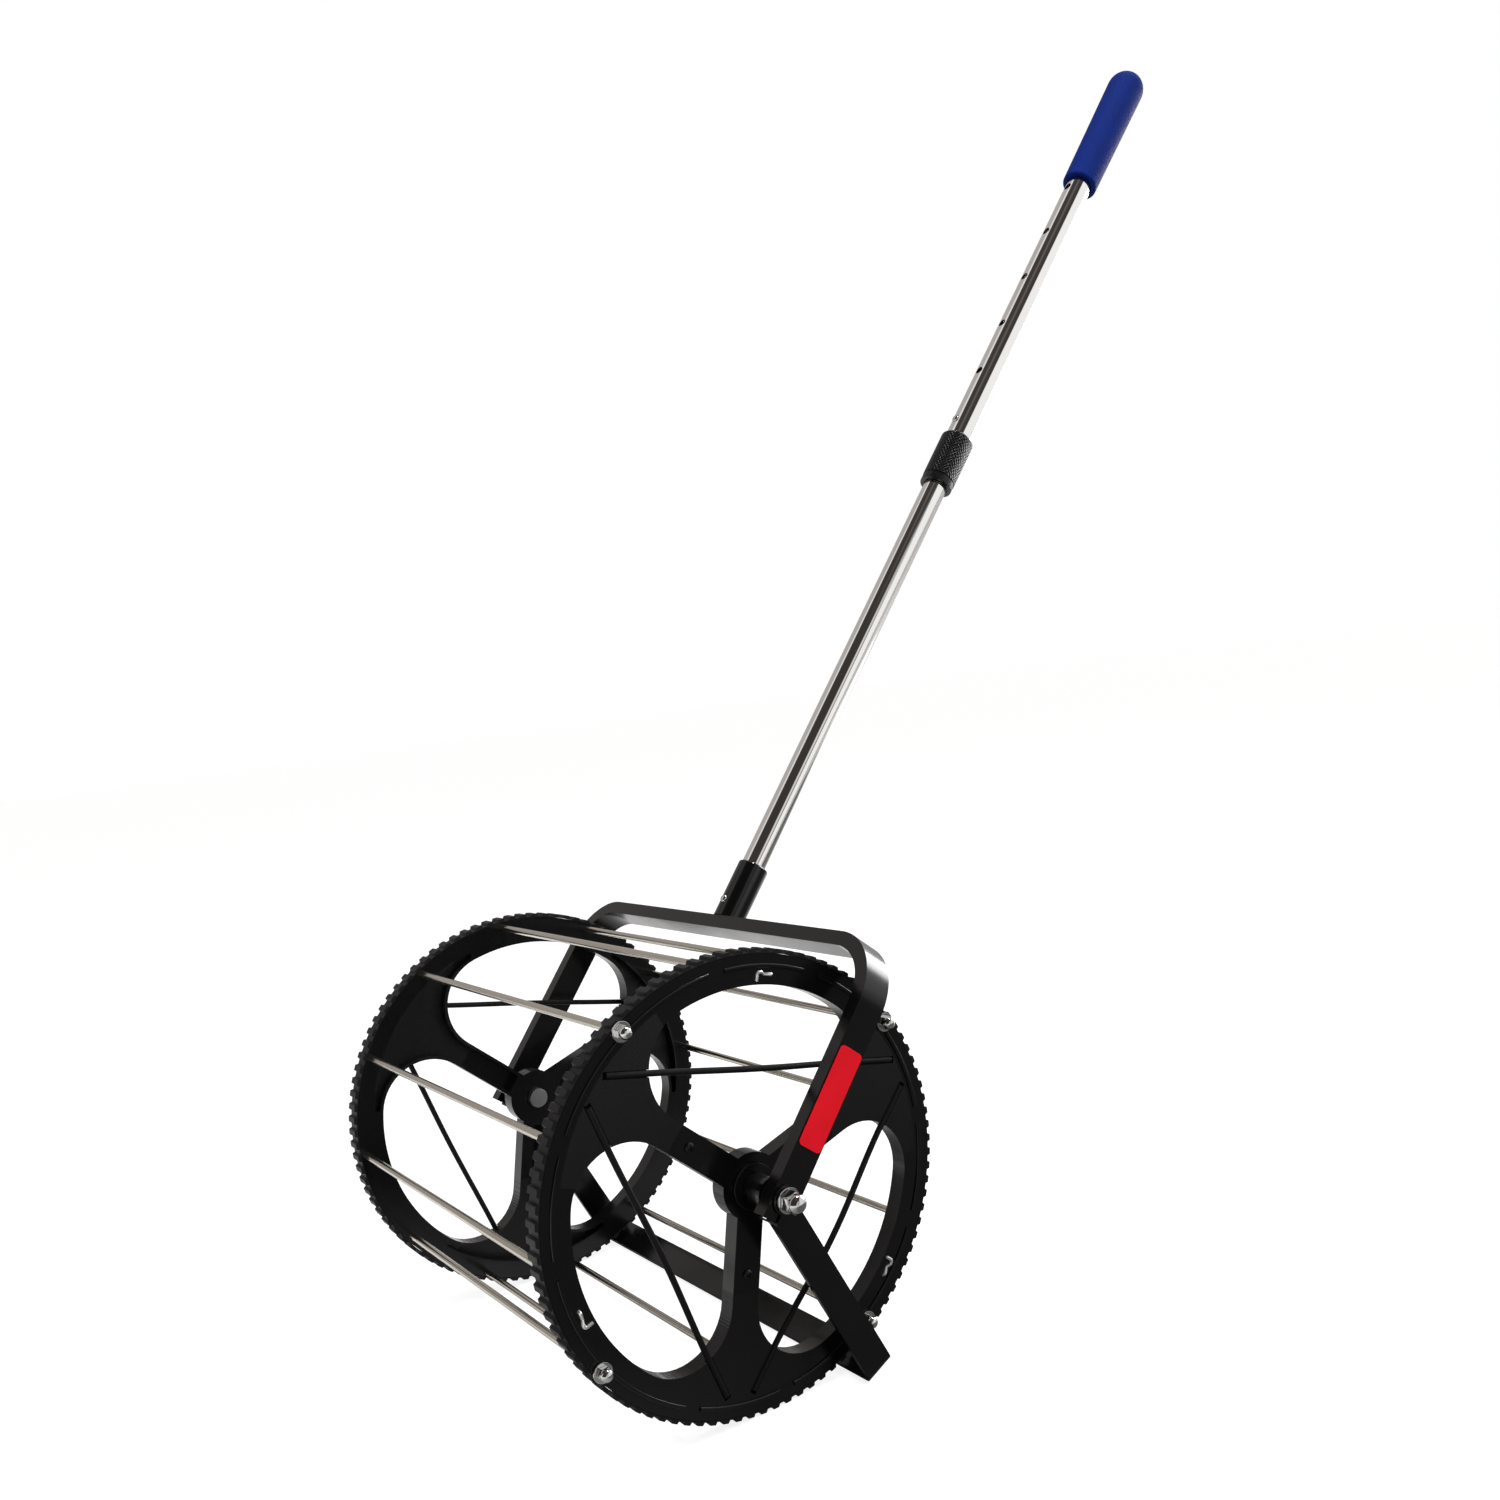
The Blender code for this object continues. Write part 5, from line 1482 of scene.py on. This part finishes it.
class ROLLER_OT_stage(Operator):
    """Set up the floor, the lights, the room and the camera"""

    bl_idname = "roller.stage"
    bl_label = "Stage"

    def execute(self, context):
        stage = context.scene.roller_stage
        self.floor(stage)
        self.room(context)
        self.lights(stage)
        self.camera(context, stage)
        context.scene.view_settings.view_transform = "Standard"
        return {"FINISHED"}

    def floor(self, stage):
        """White floor that takes shadows, with a dim part that glossy pieces reflect."""
        work = bmesh.new()
        bmesh.ops.create_grid(work, x_segments=1, y_segments=1, size=stage.floor_size / 2)
        bmesh.ops.translate(work, vec=Vector((0.0, 0.0, -stage.floor_drop)), verts=work.verts)
        floor = object_from("floor", work)
        made, nodes, shader = new_material("White floor", specular=0.1)
        shader.inputs["Roughness"].default_value = 0.8
        path = nodes.add("ShaderNodeLightPath")
        away = nodes.add("ShaderNodeVectorMath", operation="LENGTH")
        nodes.link(moved_vector(nodes, DIM_CENTRE, DIM_TURN, DIM_REACH), away.inputs[0])
        tone = nodes.add("ShaderNodeValToRGB")
        stops = tone.color_ramp.elements
        stops[0].position = DIM_CORE
        stops[0].color = FLOOR_DIM
        stops[1].position = 1.0
        stops[1].color = FLOOR_WHITE
        nodes.link(away.outputs["Value"], tone.inputs["Fac"])
        seen = nodes.mix(path.outputs["Is Camera Ray"], tone.outputs["Color"], FLOOR_WHITE)
        nodes.link(seen, shader.inputs["Base Color"])
        glow = nodes.add("ShaderNodeEmission")
        glow.inputs["Color"].default_value = PAPER_WHITE
        glow.inputs["Strength"].default_value = FLOOR_GLOW
        mix = nodes.add("ShaderNodeMixShader")
        share = nodes.math("MULTIPLY", path.outputs["Is Camera Ray"], FLOOR_GLOW_SHARE)
        nodes.link(share, mix.inputs["Fac"])
        nodes.link(shader.outputs[0], mix.inputs[1])
        nodes.link(glow.outputs[0], mix.inputs[2])
        nodes.link(mix.outputs[0], made.node_tree.nodes["Material Output"].inputs["Surface"])
        floor.data.materials.append(made)

    def room(self, context):
        """Room that is white to the camera and has light and dark sides for glossy pieces to reflect."""
        world = bpy.data.worlds.new("Room")
        world.use_nodes = True
        context.scene.world = world
        nodes = Nodes(world.node_tree)
        back = world.node_tree.nodes["Background"]
        up = handle_place().to_3x3() @ Vector((0.0, 0.0, 1.0))
        viewer = Vector(context.scene.roller_stage.camera_offset).normalized()
        toward = (viewer - up * viewer.dot(up)).normalized()
        across = up.cross(toward)
        place = nodes.add("ShaderNodeTexCoord")
        parts = []
        for direction in (across, toward, up):
            part = nodes.add("ShaderNodeVectorMath", operation="DOT_PRODUCT")
            part.inputs[1].default_value = direction
            nodes.link(place.outputs["Generated"], part.inputs[0])
            parts.append(part.outputs["Value"])
        share = nodes.math("MULTIPLY_ADD", nodes.math("ARCTAN2", *parts[:2]), 1 / (2 * pi), 0.5)
        above = nodes.math("MULTIPLY_ADD", parts[2], BAND_CHANGE, -BAND_CHANGE * BAND_LEVEL, clamp=True)
        tones = []
        for bands in (LOW_BANDS, HIGH_BANDS):
            ramp = nodes.add("ShaderNodeValToRGB")
            stops = ramp.color_ramp.elements
            for number, (position, level) in enumerate(bands):
                stop = stops[number] if number < 2 else stops.new(position)
                stop.position = position
                stop.color = (*(level * (1.0 - warm * (1.0 - level)) for warm in BAND_WARMTH), 1.0)
            nodes.link(share, ramp.inputs["Fac"])
            tones.append(ramp.outputs["Color"])
        path = nodes.add("ShaderNodeLightPath")
        seen = nodes.math("MAXIMUM", path.outputs["Is Camera Ray"], path.outputs["Is Transmission Ray"])
        nodes.link(nodes.mix(seen, nodes.mix(above, *tones), PAPER_WHITE), back.inputs["Color"])

    def lights(self, stage):
        """Wide light overhead, and the lamps of the table."""
        sky = bpy.data.lights.new("sky_lamp", "SUN")
        sky.energy = stage.sky_light
        sky.angle = SKY_SPREAD
        lamp = linked("sky_lamp", sky)
        lamp.rotation_euler = Vector(SKY_DIRECTION).to_track_quat("-Z", "Y").to_euler()
        lamp.visible_glossy = False
        for name, power, sides, place, reflected in LAMPS:
            data = bpy.data.lights.new(name, "AREA")
            data.energy = getattr(stage, power)
            data.shape = "RECTANGLE"
            data.size, data.size_y = sides
            lamp = linked(name, data)
            lamp.location = AXLE + Vector(place)
            lamp.visible_glossy = reflected
            lamp.rotation_euler = (-Vector(place)).to_track_quat("-Z", "Y").to_euler()

    def camera(self, context, stage):
        """Camera at the viewing angle, with its slight roll."""
        data = bpy.data.cameras.new("view")
        data.sensor_fit = "HORIZONTAL"
        data.sensor_width = SENSOR_WIDTH
        data.lens = stage.lens
        data.shift_x = stage.shift_x
        data.shift_y = stage.shift_y
        data.clip_start = CLIP_START
        camera = linked("view", data)
        turned_by = Matrix(CAMERA_AXES).transposed().to_4x4()
        camera.matrix_world = Matrix.Translation(AXLE + Vector(stage.camera_offset)) @ turned_by
        context.scene.camera = camera


class ROLLER_PT_panel(Panel):
    """List the collector's pieces and settings"""

    bl_idname = "ROLLER_PT_panel"
    bl_label = "Ball Roller"
    bl_space_type = "VIEW_3D"
    bl_region_type = "UI"
    bl_category = "Ball Roller"

    def draw(self, context):
        for piece in PIECES:
            self.layout.operator(piece.bl_idname)
        for group_name in GROUPS:
            group = getattr(context.scene, group_name)
            box = self.layout.box()
            for key in group.__annotations__:
                box.prop(group, key)


GROUPS = {
    "roller_drum": RollerDrumSizes,
    "roller_frame": RollerFrameSizes,
    "roller_handle": RollerHandleSizes,
    "roller_finishes": RollerFinishes,
    "roller_stage": RollerStageSizes,
}
PIECES = (
    ROLLER_OT_stage, ROLLER_OT_wheels, ROLLER_OT_treads, ROLLER_OT_rods, ROLLER_OT_cords, ROLLER_OT_hooks,
    ROLLER_OT_screws, ROLLER_OT_axle, ROLLER_OT_yoke, ROLLER_OT_label, ROLLER_OT_stand, ROLLER_OT_socket,
    ROLLER_OT_tubes, ROLLER_OT_buttons, ROLLER_OT_collar, ROLLER_OT_grip,
)


def register():
    """Register the settings, operators and panel."""
    for name, group in GROUPS.items():
        bpy.utils.register_class(group)
        setattr(bpy.types.Scene, name, PointerProperty(type=group))
    for piece in PIECES + (ROLLER_PT_panel,):
        bpy.utils.register_class(piece)


def unregister():
    """Take the settings, operators and panel away."""
    for piece in reversed(PIECES + (ROLLER_PT_panel,)):
        bpy.utils.unregister_class(piece)
    for name, group in GROUPS.items():
        delattr(bpy.types.Scene, name)
        bpy.utils.unregister_class(group)


def main():
    """Build every piece."""
    register()
    for piece in PIECES:
        family, name = piece.bl_idname.split(".")
        getattr(getattr(bpy.ops, family), name)()
    bpy.context.view_layer.update()


if __name__ == "__main__":
    main()
